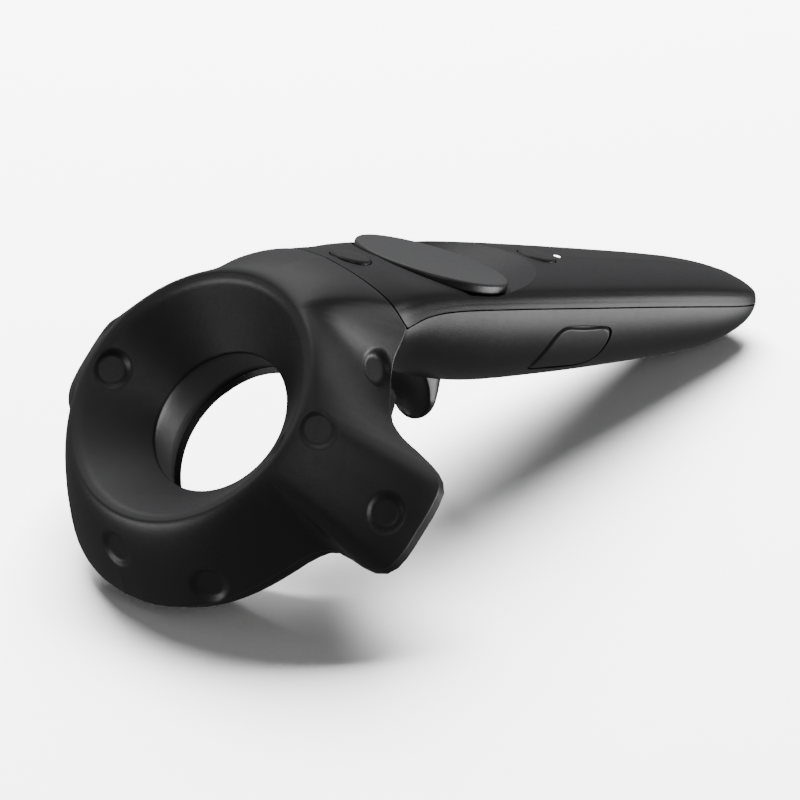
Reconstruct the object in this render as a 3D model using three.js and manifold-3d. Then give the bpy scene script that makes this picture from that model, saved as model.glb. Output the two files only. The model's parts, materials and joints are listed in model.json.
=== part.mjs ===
// A hand-held motion controller: a tapered handle whose front end flares into a
// tilted tracking ring. Units are millimetres, +Z is up, and the origin is the
// bottom centre of the bounding box of the controller lying on a table.
//
// Two working frames sit inside the exported group:
//   handle frame  origin at the centre of the trackpad's face, +Y along the handle
//                 towards its butt, +Z out of the top face;
//   ring frame    origin at the centre of the ring's lip, +Z out of the funnel along
//                 the ring's axis, +Y up towards the neck. Depths run along -Z.
import * as THREE from "three";
import { mergeVertices } from "three/addons/utils/BufferGeometryUtils.js";
import Module from "manifold-3d";

const wasm = await Module();
wasm.setup();

// ---------------------------------------------------------------- dimensions
const DEG = Math.PI / 180;
const GAP = 0.3; // clearance between neighbouring pieces
const WALL = 2.0; // moulded wall
const LYING_ANGLE = 20.9 * DEG; // how far the handle dips towards its butt on a table

// Ring
const RING_CENTRE = new THREE.Vector3(0, -74.6, -36.7); // in the handle frame
const RING_ELEVATION = 26.9 * DEG; // of the funnel's axis above the handle's line
const LIP_R = 33.4;
const THROAT_R = 18.9;
const THROAT_DEPTH = 14.2;
const BACK_CREST_R = 29.3;
const BACK_CREST_DEPTH = 35.1;
const BACK_HOLE_R = 23.8;
const BACK_HOLE_DEPTH = 32.4;
const RING_STEPS = 30; // samples of half the ring's edge

// Handle stations along Y: half-width, top, side seam and underside heights
const HALF_WIDTH = [
  [-46.8, 22.1], [-35.1, 22], [-26.4, 21.2], [-9.8, 21.5], [9.8, 21.5],
  [39, 20.2], [78.1, 17.3], [109.3, 14.7], [126.9, 13.5],
];
const TOP_Z = [
  [-46.8, -1.2], [-35.1, -0.3], [-19.5, 0.2], [0, 0.9], [19.5, 1.7],
  [39, 2], [73.2, 2], [92.7, 1.8], [126.9, 0.6],
];
const SEAM_Z = [
  [-46.8, -19.5], [-37.1, -15.4], [-27.3, -11.5], [-20.5, -8.5], [-11.7, -6.9],
  [4.9, -6], [29.3, -5.5], [78.1, -5.3], [126.9, -5.7],
];
const UNDER_Z = [
  [-46.8, -21.5], [-35.1, -23], [-26.4, -24.6], [-9.8, -28.5], [11.7, -30.3],
  [39, -28.6], [69.3, -25.6], [104.4, -21.1], [126.9, -18],
];
const TOP_POWER = 2.8; // squareness of the upper half of the section
const UNDER_POWER = 2.3;
const BUTT_Y = 121.6; // flat end face of the butt
const END_ROUNDING = { side: 19.5, top: 35, under: 23.5 }; // lengths over which the end closes in
const END_SHARE = { side: 0.62, top: 0.42, under: 0.45 }; // of each size left at the end face

// Seam between the ring's front shell and the handle's top shell: a tilted plane
const SEAM_NORMAL = { y: 0.68, z: 0.733 };
const SEAM_OFFSET = -27.1;

// Controls
const PAD = { r: 20, thick: 2.5, tilt: 2.1 * DEG, travel: 0.4, floor: -4 };
const SCOOP = { r: 20.7, ramp: 16, rear: 33, rise: 2, half: 13.5 };
const MENU = { y: -30.3, r: 5.2 };
const SYSTEM = { y: 39.6, r: 5 };
const LIGHT = { y: 47.6, r: 0.9 };
const BUTTON = { flange: 1, proud: 0.5, depth: 3.6, flangeThick: 0.9, travel: 0.5 };
const TRIGGER = { pivotY: -7.8, pivotZ: -18.5, holeR: 1.5, hubR: 4.4, hubHalf: 6 };
const LEVER = { half: 7.5, tip: -42.2, sideY: 4.5, backDeep: 8.5 };
const PIN_R = 1.2;
const SPRING = { bore: 2.1, r: 3.6, half: 1.4 };
const SLOT = { front: -23.4, rear: 17.4, half: 8.2, roof: -16 };

// ------------------------------------------------------------------ curves
// A smooth value along Y through a few stations.
function through(stations) {
  const slope = stations.map((_, i) => {
    const a = stations[Math.max(i - 1, 0)];
    const b = stations[Math.min(i + 1, stations.length - 1)];
    return (b[1] - a[1]) / (b[0] - a[0]);
  });
  return (y) => {
    const last = stations.length - 2;
    let i = stations.findIndex((s, k) => k <= last && y < stations[k + 1][0]);
    if (i < 0) i = last;
    const [y0, v0] = stations[i];
    const [y1, v1] = stations[i + 1];
    const h = y1 - y0;
    const t = Math.min(Math.max((y - y0) / h, 0), 1);
    const s = 1 - t;
    return (
      v0 * s * s * (1 + 2 * t) + v1 * t * t * (3 - 2 * t) +
      h * t * s * (slope[i] * s - slope[i + 1] * t)
    );
  };
}

const halfWidth = through(HALF_WIDTH);
const topLine = through(TOP_Z);
const seamLine = through(SEAM_Z);
const underLine = through(UNDER_Z);

// How much of a size is left at y as the butt closes in over a rounding length.
function closing(y, length, share) {
  const t = Math.max(0, (y - (BUTT_Y - length)) / length);
  return share + (1 - share) * Math.sqrt(Math.max(0, 1 - t * t));
}

// Height of the underside's skin at x and y, away from the butt.
function underAt(x, y) {
  const across = Math.abs(x) / halfWidth(y);
  const share = (1 - across ** UNDER_POWER) ** (1 / UNDER_POWER);
  return seamLine(y) - (seamLine(y) - underLine(y)) * share;
}

const power = (v, p) => Math.sign(v) * Math.abs(v) ** (2 / p);

// A point on the handle's skin at y and angle a round the section, inset by t.
function handlePoint(y, a, t = 0) {
  const seam = seamLine(y);
  const w = (halfWidth(y) - t) * closing(y, END_ROUNDING.side, END_SHARE.side);
  const up = (topLine(y) - seam - t) * closing(y, END_ROUNDING.top, END_SHARE.top);
  const down = (seam - underLine(y) - t) * closing(y, END_ROUNDING.under, END_SHARE.under);
  const over = Math.sin(a) >= 0;
  const p = over ? TOP_POWER : UNDER_POWER;
  return new THREE.Vector3(
    w * power(Math.cos(a), p),
    y,
    seam + (over ? up : down) * power(Math.sin(a), p),
  );
}

// The point at angle a where the handle's skin meets the ring's seam plane.
function neckSeamPoint(a, t = 0) {
  let y = -38;
  for (let k = 0; k < 40; k++) {
    y = 0.5 * y + (0.5 * (SEAM_OFFSET - SEAM_NORMAL.z * handlePoint(y, a, t).z)) / SEAM_NORMAL.y;
  }
  return handlePoint(y, a, t);
}

// ------------------------------------------------------------ solid helpers
function solid(geometry) {
  const g = geometry.clone();
  g.deleteAttribute("normal");
  g.deleteAttribute("uv");
  const merged = mergeVertices(g, 1e-4);
  return solidOf(merged.attributes.position.array, merged.index.array);
}

function solidOf(vertices, triangles) {
  const make = (tri) => {
    const data = { numProp: 3, vertProperties: new Float32Array(vertices), triVerts: tri };
    return new wasm.Manifold(new wasm.Mesh(data));
  };
  const tri = new Uint32Array(triangles);
  const made = make(tri);
  if (made.volume() > 0) return made;
  for (let i = 0; i < tri.length; i += 3) [tri[i + 1], tri[i + 2]] = [tri[i + 2], tri[i + 1]];
  return make(tri);
}

function geometryOf(manifold) {
  const mesh = manifold.getMesh();
  const g = new THREE.BufferGeometry();
  g.setAttribute("position", new THREE.BufferAttribute(mesh.vertProperties.slice(), 3));
  g.setIndex(new THREE.BufferAttribute(mesh.triVerts.slice(), 1));
  g.computeVertexNormals();
  return g;
}

// A solid through a row of closed loops; the row is closed on itself or capped.
function loft(loops, closed = false) {
  const n = loops[0].length;
  const vertices = loops.flat().flatMap((p) => [p.x, p.y, p.z]);
  const triangles = [];
  const rows = closed ? loops.length : loops.length - 1;
  for (let i = 0; i < rows; i++) {
    const a = i * n;
    const b = ((i + 1) % loops.length) * n;
    for (let k = 0; k < n; k++) {
      const l = (k + 1) % n;
      triangles.push(a + k, a + l, b + l, a + k, b + l, b + k);
    }
  }
  if (!closed) {
    for (const end of [0, loops.length - 1]) {
      const centre = new THREE.Vector3();
      loops[end].forEach((p) => centre.addScaledVector(p, 1 / n));
      const c = vertices.length / 3;
      vertices.push(centre.x, centre.y, centre.z);
      for (let k = 0; k < n; k++) {
        const pair = [end * n + k, end * n + ((k + 1) % n)];
        triangles.push(c, ...(end === 0 ? pair.reverse() : pair));
      }
    }
  }
  return solidOf(vertices, triangles);
}

// A prism along X from an outline in the Y-Z plane.
function prismX(outline, x0, x1) {
  const shape = new THREE.Shape(outline.map(([y, z]) => new THREE.Vector2(y, z)));
  const g = new THREE.ExtrudeGeometry(shape, { depth: x1 - x0, bevelEnabled: false });
  const turn = new THREE.Matrix4().makeBasis(
    new THREE.Vector3(0, 1, 0),
    new THREE.Vector3(0, 0, 1),
    new THREE.Vector3(1, 0, 0),
  );
  g.applyMatrix4(turn.setPosition(x0, 0, 0));
  return solid(g);
}

// A turned solid round Z from [radius, height] points that start and end on the axis.
function turned(profile, sides = 32) {
  const points = profile.map(([r, z]) => new THREE.Vector2(r, z));
  return solid(new THREE.LatheGeometry(points, sides).rotateX(Math.PI / 2));
}

const rod = (r, z0, z1, sides = 24) => turned([[0, z0], [r, z0], [r, z1], [0, z1]], sides);
const block = (x, y, z) => solid(new THREE.BoxGeometry(x, y, z));
const circle = (r, n, from = 0) =>
  Array.from({ length: n }, (_, k) => {
    const a = from + (2 * Math.PI * k) / n;
    return [r * Math.cos(a), r * Math.sin(a)];
  });

// ---------------------------------------------------------------- materials
const plastic = (color, roughness) =>
  new THREE.MeshStandardMaterial({ color, roughness, metalness: 0 });
const metal = (color, roughness) =>
  new THREE.MeshStandardMaterial({ color, roughness, metalness: 1 });
const SHELL = plastic(0x1d1d1f, 0.55);
const PAD_FACE = plastic(0x2a2a2c, 0.4);
const BUTTON_BLACK = plastic(0x19191a, 0.45);
const TRIGGER_BLACK = plastic(0x141415, 0.35);
const FRAME_GREY = plastic(0x333335, 0.6);
const BOARD_GREEN = plastic(0x12402a, 0.5);
const CHIP_BLACK = plastic(0x101010, 0.5);
const CELL_FOIL = metal(0xb8bcc2, 0.45);
const STEEL = metal(0x8c8e92, 0.35);
const LIGHT_WHITE = plastic(0xe9f3ef, 0.3);

// -------------------------------------------------------------- scene frames
const root = new THREE.Group();
const handle = new THREE.Group();
const ring = new THREE.Group();
handle.rotation.x = -LYING_ANGLE;
ring.position.copy(RING_CENTRE);
ring.rotation.x = Math.PI / 2 - RING_ELEVATION;
root.add(handle);
handle.add(ring);
ring.updateMatrix();
const handleToRing = ring.matrix.clone().invert();

function add(group, name, made, material, at = [0, 0, 0], turn = [0, 0, 0]) {
  const mesh = new THREE.Mesh(made.isBufferGeometry ? made : geometryOf(made), material);
  mesh.name = name;
  mesh.position.set(...at);
  mesh.rotation.set(...turn);
  group.add(mesh);
  return mesh;
}

// --------------------------------------------------------------- ring shells
// The skirt's free edge below the neck, as [x, y, depth] in the ring frame: the
// neck's side, the squared ear, the notch under it and the round nose.
const SKIRT_EDGE = [
  [21.1, 40, 32], [21.3, 36.5, 32.6], [22.4, 33.2, 33.2], [25.6, 28.3, 33.2], [31, 22.7, 31.6],
  [38.1, 19.2, 30.3], [46.4, 16.9, 29.9], [53.1, 14.8, 30], [56.9, 11.9, 30], [58.1, 6.8, 30],
  [58.3, 0, 30], [58.1, -7.3, 30], [56.8, -11.7, 29.6], [53, -13.9, 28.5], [48.3, -14.2, 26],
  [44.5, -15, 22.8], [41.6, -18.9, 20.5], [38.6, -24.3, 19.7], [33.6, -31.6, 19.5],
  [26.5, -38.7, 19.5], [18, -44, 19.5], [9.1, -46.9, 19.5], [0, -47.8, 19.5],
];
// The rear shell's edge across the underside of the neck.
const NECK_UNDER_EDGE = [[21.9, 30.5, 34.7], [13.7, 32.2, 36.3], [0, 33, 37.1]];
const NECK_SEAM_STEPS = 10; // of the ring's samples that lie on the neck's seam

const mirrored = (half) => [...half, ...half.slice(1, -1).reverse().map(([x, y, d]) => [-x, y, d])];

function alongCurve(points, count) {
  const curve = new THREE.CatmullRomCurve3(
    points.map((p) => new THREE.Vector3(...p)),
    false,
    "centripetal",
  );
  return curve.getSpacedPoints(count - 1).map((p) => [p.x, p.y, p.z]);
}

// Edge of the front shell: the neck seam from its top to the side, then the skirt.
function frontEdge() {
  const seam = [];
  for (let k = 0; k < NECK_SEAM_STEPS; k++) {
    const a = (Math.PI / 2) * (1 - k / (NECK_SEAM_STEPS - 1)) ** 1.2;
    const p = neckSeamPoint(a).applyMatrix4(handleToRing);
    seam.push([p.x, p.y, -p.z]);
  }
  seam[0][0] = 0;
  const corner = seam[seam.length - 1];
  const skirt = alongCurve([corner, ...SKIRT_EDGE], RING_STEPS - NECK_SEAM_STEPS);
  skirt[skirt.length - 1][0] = 0;
  return mirrored([...seam, ...skirt.slice(1)]);
}

// Edge of the rear shell: the underside of the neck, then the same skirt.
function rearEdge() {
  const across = alongCurve([...NECK_UNDER_EDGE].reverse(), 6);
  const below = [NECK_UNDER_EDGE[0], ...SKIRT_EDGE.slice(3)];
  const skirt = alongCurve(below, RING_STEPS - 7);
  across[0][0] = 0;
  skirt[skirt.length - 1][0] = 0;
  return mirrored([...across, ...skirt.slice(1)]);
}

// A cubic from [r, depth] a to b that leaves along ta and arrives along tb.
function hermite(a, ta, b, tb, count) {
  return Array.from({ length: count }, (_, k) => {
    const t = (k + 1) / count;
    const s = 1 - t;
    return [0, 1].map(
      (i) =>
        a[i] * s * s * (1 + 2 * t) + b[i] * t * t * (3 - 2 * t) +
        ta[i] * t * s * s - tb[i] * t * t * s,
    );
  });
}

// A closed loop in the half-plane at the edge sample's bearing: the outer line and
// the same line moved inwards by the wall.
function wallLoop(line, inward, edge, thick = WALL) {
  const inner = line.map((p, i) => {
    const a = line[Math.max(i - 1, 0)];
    const b = line[Math.min(i + 1, line.length - 1)];
    const length = Math.hypot(b[0] - a[0], b[1] - a[1]);
    return [
      p[0] - (inward * thick * (b[1] - a[1])) / length,
      p[1] + (inward * thick * (b[0] - a[0])) / length,
    ];
  });
  const bearing = Math.hypot(edge[0], edge[1]);
  return [...line, ...inner.reverse()].map(
    ([r, d]) => new THREE.Vector3((r * edge[0]) / bearing, (r * edge[1]) / bearing, -d),
  );
}

// Funnel wall from the throat out to the crest of the lip.
const FUNNEL = [
  [THROAT_R, THROAT_DEPTH], [24.6, 8.1], [29.9, 2.3], [31.4, 0.7], [LIP_R, 0],
];

// The front shell's outer line at one bearing, from the throat out to its edge.
function frontLine(edge) {
  const end = [Math.hypot(edge[0], edge[1]), edge[2]];
  return [...FUNNEL, ...hermite([LIP_R, 0], [9, 0], end, [0.55 * end[1] + 2, end[1]], 6)];
}

const frontShell = () => loft(frontEdge().map((edge) => wallLoop(frontLine(edge), 1, edge)), true);

// The hollow inside the front shell, clear of its walls.
function frontHollow() {
  const loops = frontEdge().map((edge) => {
    const line = frontLine(edge);
    return wallLoop(line, 1, edge, WALL + 0.4).slice(line.length);
  });
  return loft(loops, true);
}

// The rear shell's outer line at one bearing, from its edge in to the crest.
function rearLine(edge) {
  const crest = [BACK_CREST_R, BACK_CREST_DEPTH];
  const start = [Math.hypot(edge[0], edge[1]), edge[2] + GAP + 0.1];
  const fall = Math.max(0.6 * (start[0] - crest[0]), 0.5);
  return [start, ...hermite(start, [-fall, 1.3 * (crest[1] - start[1])], crest, [-fall, 0], 5)];
}

function rearShell(thick = WALL) {
  const rim = [[26.9, 34.8], [24.8, 33.8], [BACK_HOLE_R, BACK_HOLE_DEPTH]];
  const loops = rearEdge().map((edge) => wallLoop([...rearLine(edge), ...rim], -1, edge, thick));
  return loft(loops, true);
}

// Everything behind the rear shell's outside, moved forward by the seam's clearance.
function behindRear() {
  const loops = rearEdge().map((edge) => {
    const line = rearLine(edge).map(([r, d]) => [r, d - GAP]);
    const outside = line[0][0] + 2;
    const bearing = Math.hypot(edge[0], edge[1]);
    const far = BACK_CREST_DEPTH + 20;
    const region = [[outside, line[0][1]], ...line, [BACK_CREST_R, far], [outside, far]];
    return region.map(
      ([r, d]) => new THREE.Vector3((r * edge[0]) / bearing, (r * edge[1]) / bearing, -d),
    );
  });
  return loft(loops, true);
}

// --------------------------------------------------------------- handle solids
const SECTION_POINTS = 24;
const STATIONS = 16;

// The handle's skin inset by t between two stations, denser towards the butt.
function handleSolid(t, from = -45, to = BUTT_Y - t) {
  const loops = [];
  for (let i = 0; i <= STATIONS; i++) {
    const u = i / STATIONS;
    const y = from + (to - from) * (1.35 * u - 0.35 * u * u);
    loops.push(
      Array.from({ length: SECTION_POINTS }, (_, k) =>
        handlePoint(y, (2 * Math.PI * k) / SECTION_POINTS, t),
      ),
    );
  }
  return loft(loops);
}

const SKIN = handleSolid(0);
const CORE = handleSolid(WALL);
const INSIDE = handleSolid(WALL + 0.5);
const FAR = 60; // reaches past the handle on any side

// Everything above (or below) the side seam, kept clear of it by half a gap.
function beyondSeam(above) {
  const side = above ? 1 : -1;
  const ys = Array.from({ length: 24 }, (_, i) => -60 + 8.4 * i);
  const line = ys.map((y) => [y, seamLine(y) + (side * GAP) / 2]);
  return prismX([...line, [ys.at(-1), side * FAR], [ys[0], side * FAR]], -FAR, FAR);
}

// The half space on the handle's side of the neck seam, moved back by a clearance.
function behindNeckSeam(clearance) {
  const { y, z } = SEAM_NORMAL;
  const at = (along) => [
    (SEAM_OFFSET + clearance) * y - along * z,
    (SEAM_OFFSET + clearance) * z + along * y,
  ];
  const [a, b] = [at(-120), at(60)];
  return prismX([a, b, [b[0] + 400 * y, b[1] + 400 * z], [a[0] + 400 * y, a[1] + 400 * z]], -80, 80);
}

const rodAt = (r, y, z0, z1, sides = 32) => rod(r, z0, z1, sides).translate(0, y, 0);

// Trackpad pocket: a round well, and a ramp that runs out towards the butt.
function scoop() {
  const well = rodAt(SCOOP.r, 0, PAD.floor, 12, 48);
  const ramp = prismX(
    [[0, PAD.floor], [SCOOP.ramp, PAD.floor], [SCOOP.rear, SCOOP.rise], [SCOOP.rear, 12], [0, 12]],
    -SCOOP.half,
    SCOOP.half,
  );
  return well.add(ramp);
}

const PAD_STEM_R = 3.6;
const PAD_STEM_LOW = -6.2;
const POCKET_WALL = 1.8;
const FRONT_OF_BOTTOM = -25.6; // where the bottom shell starts

function buttonHole(control) {
  return rodAt(control.r + GAP, control.y, -8, 12);
}

function topCover() {
  const under = PAD.floor - POCKET_WALL;
  const tray = rodAt(SCOOP.r + WALL, 0, under, 6, 48);
  const slope = prismX(
    [[0, under], [SCOOP.ramp, under], [SCOOP.rear + WALL, 0], [SCOOP.rear, 6], [0, 6]],
    -SCOOP.half - WALL,
    SCOOP.half + WALL,
  );
  const hollow = CORE.subtract(tray.add(slope));
  return SKIN.intersect(beyondSeam(true))
    .intersect(behindNeckSeam(GAP))
    .subtract(hollow)
    .subtract(scoop())
    .subtract(buttonHole(MENU))
    .subtract(buttonHole(SYSTEM))
    .subtract(rodAt(PAD_STEM_R + 0.6, 0, -12, 0))
    .subtract(rodAt(LIGHT.r + GAP, LIGHT.y, -8, 12, 16));
}

// Side outline of the grip button, as [y, z].
const GRIP_OUTLINE = [
  [26.6, -20.4], [33.4, -11.2], [35.4, -10.3], [50.8, -10.3], [52.4, -10.9],
  [55.4, -13.6], [55, -15.4], [44.5, -22.4], [42, -23.2], [28.4, -23.3],
];
const GRIP = { thick: 2.2, travel: 0.7, centre: [41.2, -16.6] };

function gripPrism(grow, side) {
  const [cy, cz] = GRIP.centre;
  const outline = GRIP_OUTLINE.map(([y, z]) => {
    const reach = Math.hypot(y - cy, z - cz);
    return [y + (grow * (y - cy)) / reach, z + (grow * (z - cz)) / reach];
  });
  return side > 0 ? prismX(outline, 7, FAR) : prismX(outline, -FAR, -7);
}

const CASE_SCREWS = [[-8.5, 23], [8.5, 23], [-6.5, 103], [6.5, 103]]; // [x, y] from below
const SCREW = { headR: 1.9, headTall: 1.4, shankR: 1, length: 6, sink: 3.4, bossR: 3.5 };
const PORT = { width: 7.6, tall: 2.6, z: -7.7, long: 6 };
const LANYARD = { y: 114.2, half: 4.5, barR: 1, deep: 4.6 };

const screwSeat = ([x, y]) => underAt(x, y) + SCREW.sink;

// A post for one case screw, from the skin to just past the screw's end.
function screwBoss(place) {
  const [x, y] = place;
  const end = screwSeat(place) + SCREW.length + 0.6;
  return rod(SCREW.bossR, underLine(y), end, 20).translate(x, y, 0).intersect(SKIN);
}

function bottomCover() {
  let shell = SKIN.intersect(beyondSeam(false)).subtract(CORE);
  CASE_SCREWS.forEach((place) => {
    shell = shell.add(screwBoss(place));
  });
  const { front, rear, half, roof } = SLOT;
  const slot = prismX([[front, -FAR], [front, roof], [rear, roof], [rear, -FAR]], -half, half);
  const reach = [[FRONT_OF_BOTTOM, -FAR], [FRONT_OF_BOTTOM, FAR], [140, FAR], [140, -FAR]];
  shell = shell
    .intersect(prismX(reach, -FAR, FAR))
    .subtract(slot)
    .subtract(gripPrism(GAP, 1))
    .subtract(gripPrism(GAP, -1))
    .subtract(block(PORT.width + 1, 20, PORT.tall + 1).translate(0, BUTT_Y, PORT.z))
    .subtract(block(2 * LANYARD.half, 6, 14).translate(0, LANYARD.y, underLine(LANYARD.y)));
  CASE_SCREWS.forEach((place) => {
    const [x, y] = place;
    const seat = screwSeat(place);
    shell = shell
      .subtract(rod(SCREW.headR + GAP, -FAR, seat, 20).translate(x, y, 0))
      .subtract(rod(SCREW.shankR + GAP, -FAR, seat + 12, 16).translate(x, y, 0));
  });
  return shell;
}

// ------------------------------------------------------------------- controls
function padCap() {
  const face = turned(
    [[0, -PAD.thick], [PAD.r - 0.8, -PAD.thick], [PAD.r, -PAD.thick + 0.6], [PAD.r, -0.7],
      [PAD.r - 0.6, -0.1], [PAD.r - 1.6, 0], [8, -0.35], [0, -0.45]],
    40,
  );
  const stem = rod(PAD_STEM_R, PAD_STEM_LOW, -PAD.thick + 0.2, 28);
  return face.rotate([-PAD.tilt / DEG, 0, 0]).add(stem);
}

// A round push button whose face stands a little proud of the cover.
function pushButton(control) {
  const top = topLine(control.y) + BUTTON.proud;
  const under = -BUTTON.depth;
  const { r } = control;
  const stop = [r + BUTTON.flange, under + BUTTON.flangeThick];
  const face = [[r, top - 0.5], [r - 0.4, top - 0.1], [r - 0.9, top], [0, top - 0.2]];
  const cap = turned([[0, under], [stop[0], under], stop, [r, stop[1]], ...face], 24);
  return cap.translate(0, control.y, 0);
}

function gripButton(side) {
  const skin = handleSolid(-0.4, 20, 62);
  return skin.subtract(handleSolid(GRIP.thick, 10, 70)).intersect(gripPrism(-0.05, side));
}

// Side outline of the finger lever, as [y, z]: the hollow front, the tip and the full back.
const LEVER_OUTLINE = [
  [-13, -22.4], [-8, -22.8], [-1.9, -27], [2, -30.2], [4.3, -32.5], [6.2, -36],
  [7.4, -39.5], [8.1, LEVER.tip], [9.6, LEVER.tip], [11.4, -39], [12.5, -35],
  [13, -30], [13, -23], [8, -18.2], [-4, -16.6], [-12, -18.6],
];
// Room beside the hub for the bracket's cheeks through the whole pull.
const CHEEK_ROOM = [[-30, -10], [-30, -22.2], [0.6, -22.2], [0.6, -10]];

const onAxle = (m) => m.rotate([0, 90, 0]).translate(0, TRIGGER.pivotY, TRIGGER.pivotZ);

// Trigger: a curved finger lever below a hub on the axle, split for the spring.
function triggerPiece() {
  const { hubR, hubHalf, holeR } = TRIGGER;
  const lever = prismX(LEVER_OUTLINE, -LEVER.half, LEVER.half).intersect(leverRounding());
  const room = prismX(CHEEK_ROOM, -FAR, -hubHalf).add(prismX(CHEEK_ROOM, hubHalf, FAR));
  return lever
    .subtract(room)
    .add(onAxle(rod(hubR, -hubHalf, hubHalf, 32)))
    .subtract(onAxle(rod(SPRING.r + 0.6, -SPRING.half - 0.4, SPRING.half + 0.4, 32)))
    .subtract(onAxle(rod(holeR, -FAR, FAR, 32)));
}

// Rounds the lever's lower end as seen from the front, and its back as seen from above.
function leverRounding() {
  const { half, tip, sideY, backDeep } = LEVER;
  const front = new THREE.Shape();
  front.moveTo(-half, 0);
  front.lineTo(-half, tip + half);
  front.absarc(0, tip + half, half, Math.PI, 2 * Math.PI, false);
  front.lineTo(half, 0);
  const plan = new THREE.Shape();
  plan.moveTo(half, -40);
  plan.lineTo(half, sideY);
  plan.absellipse(0, sideY, half, backDeep, 0, Math.PI, false);
  plan.lineTo(-half, -40);
  const deep = { depth: 2 * FAR, bevelEnabled: false, curveSegments: 14 };
  const fromFront = new THREE.ExtrudeGeometry(front, deep).rotateX(Math.PI / 2);
  const fromAbove = new THREE.ExtrudeGeometry(plan, deep).translate(0, 0, -FAR);
  return solid(fromFront.translate(0, FAR, 0)).intersect(solid(fromAbove));
}

// Two cheeks and a bridge that carry the trigger's axle.
const BRACKET = { front: -11.8, rear: -4.2, foot: -20.2, under: -12.9, top: -11.4, out: 8.3 };

function triggerBracket() {
  const { front, rear, foot, under, top, out } = BRACKET;
  const side = [[front, foot], [rear, foot], [rear, top], [front, top]];
  const deck = [[front, under], [rear, under], [rear, top], [front, top]];
  const inside = TRIGGER.hubHalf + GAP;
  return prismX(side, -out, -inside)
    .add(prismX(side, inside, out))
    .add(prismX(deck, -out, out))
    .subtract(onAxle(rod(PIN_R + 0.25, -FAR, FAR, 24)));
}

// The return spring, as a plain ring round the axle.
function springPiece() {
  const { bore, r, half } = SPRING;
  return onAxle(turned([[bore, -half], [r, -half], [r, half], [bore, half], [bore, -half]], 28));
}

// -------------------------------------------------------------- ring internals
const toRing = (m) => m.transform(handleToRing.toArray());

// A ring frame inside the lip, with an arm that reaches back into the handle.
const FRAME_BAND = { inner: 28.8, outer: 31.4, near: 9.4, far: 15 };

function headFrame() {
  const { inner, outer, near, far } = FRAME_BAND;
  const corners = [[inner, -near], [outer, -near], [outer, -far], [inner, -far]];
  const band = turned([...corners, corners[0]], 40);
  const arm = prismX([[-48, -13.4], [-49.4, -18.4], [-27, -16.4], [-27, -12.4]], -6, 6);
  return band.add(toRing(arm));
}

// Flexible circuit on a cone inside a shell, with its light sensors joined on.
function sensorFlex(line, count, from) {
  let flex = turned([...line, line[0]], 36);
  const [r, z] = [(line[0][0] + line[1][0]) / 2, (line[0][1] + line[1][1]) / 2];
  for (const [x, y] of circle(r, count, from)) {
    flex = flex.add(block(2.4, 2.4, 1.2).translate(x, y, z));
  }
  return flex;
}

// ------------------------------------------------------------------- assembly
const seamHalf = behindNeckSeam(0);
const behindFront = rearShell(WALL + GAP).add(behindRear());
const hollow = frontHollow().subtract(rearShell(WALL + 0.4)).subtract(toRing(seamHalf));
add(ring, "head_front_cover", frontShell().subtract(behindFront).subtract(toRing(seamHalf)), SHELL);
add(ring, "head_rear_cover", rearShell(), SHELL);
add(
  ring,
  "throat_collar",
  turned(
    [[THROAT_R + 0.3, -THROAT_DEPTH - 2.3], [19.4, -20], [21.2, -27],
      [BACK_HOLE_R - 0.5, -BACK_HOLE_DEPTH], [BACK_HOLE_R + 0.3, -31], [22.9, -26], [21, -20],
      [THROAT_R + 2.2, -THROAT_DEPTH - 3], [THROAT_R + 0.3, -THROAT_DEPTH - 2.3]],
    40,
  ),
  SHELL,
);
add(ring, "head_frame", headFrame(), FRAME_GREY);
add(
  ring,
  "front_sensor_flex",
  sensorFlex([[36, -9.6], [38, -12.2], [37.4, -12.6], [35.4, -10]], 12, 0.3)
    .subtract(block(120, 60, 60).translate(0, 38, -10)),
  BOARD_GREEN,
);
add(
  ring,
  "rear_sensor_flex",
  sensorFlex([[29.6, -30.4], [33.4, -27.2], [33, -26.6], [29.2, -29.8]], 10, 0.3),
  BOARD_GREEN,
);

add(handle, "handle_top_cover", topCover(), SHELL);
add(handle, "handle_bottom_cover", bottomCover(), SHELL);
add(handle, "trackpad_cap", padCap(), PAD_FACE);
add(handle, "menu_button", pushButton(MENU), BUTTON_BLACK);
add(handle, "system_button", pushButton(SYSTEM), BUTTON_BLACK);
add(handle, "status_light_pipe", rodAt(LIGHT.r, LIGHT.y, -4.4, topLine(LIGHT.y), 16), LIGHT_WHITE);
add(handle, "left_grip_button", gripButton(-1), BUTTON_BLACK);
add(handle, "right_grip_button", gripButton(1), BUTTON_BLACK);

const mainBoard = block(22, 66, 1.2).translate(0, 34, -10);
const padBoard = rodAt(9.5, 0, -7.4, -6.6).subtract(rodAt(PAD_STEM_R + 0.6, 0, -9, 0));
add(handle, "main_board", mainBoard.intersect(INSIDE), BOARD_GREEN);
add(handle, "trackpad_board", padBoard, BOARD_GREEN);
const switches = [
  ["trackpad_switch", 0, PAD_STEM_LOW - PAD.travel - 0.2],
  ["menu_switch", MENU.y, -BUTTON.depth - BUTTON.travel - 0.2],
  ["system_switch", SYSTEM.y, -BUTTON.depth - BUTTON.travel - 0.2],
];
for (const [name, y, top] of switches) {
  add(handle, name, block(4.4, 4.4, 1.8).translate(0, y, top - 0.9), CHIP_BLACK);
}
for (const side of [-1, 1]) {
  const name = side < 0 ? "left_grip_switch" : "right_grip_switch";
  const made = block(2, 4.4, 4.4).translate(side * 12.4, GRIP.centre[0], GRIP.centre[1] + 1);
  add(handle, name, made, CHIP_BLACK);
}

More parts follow.
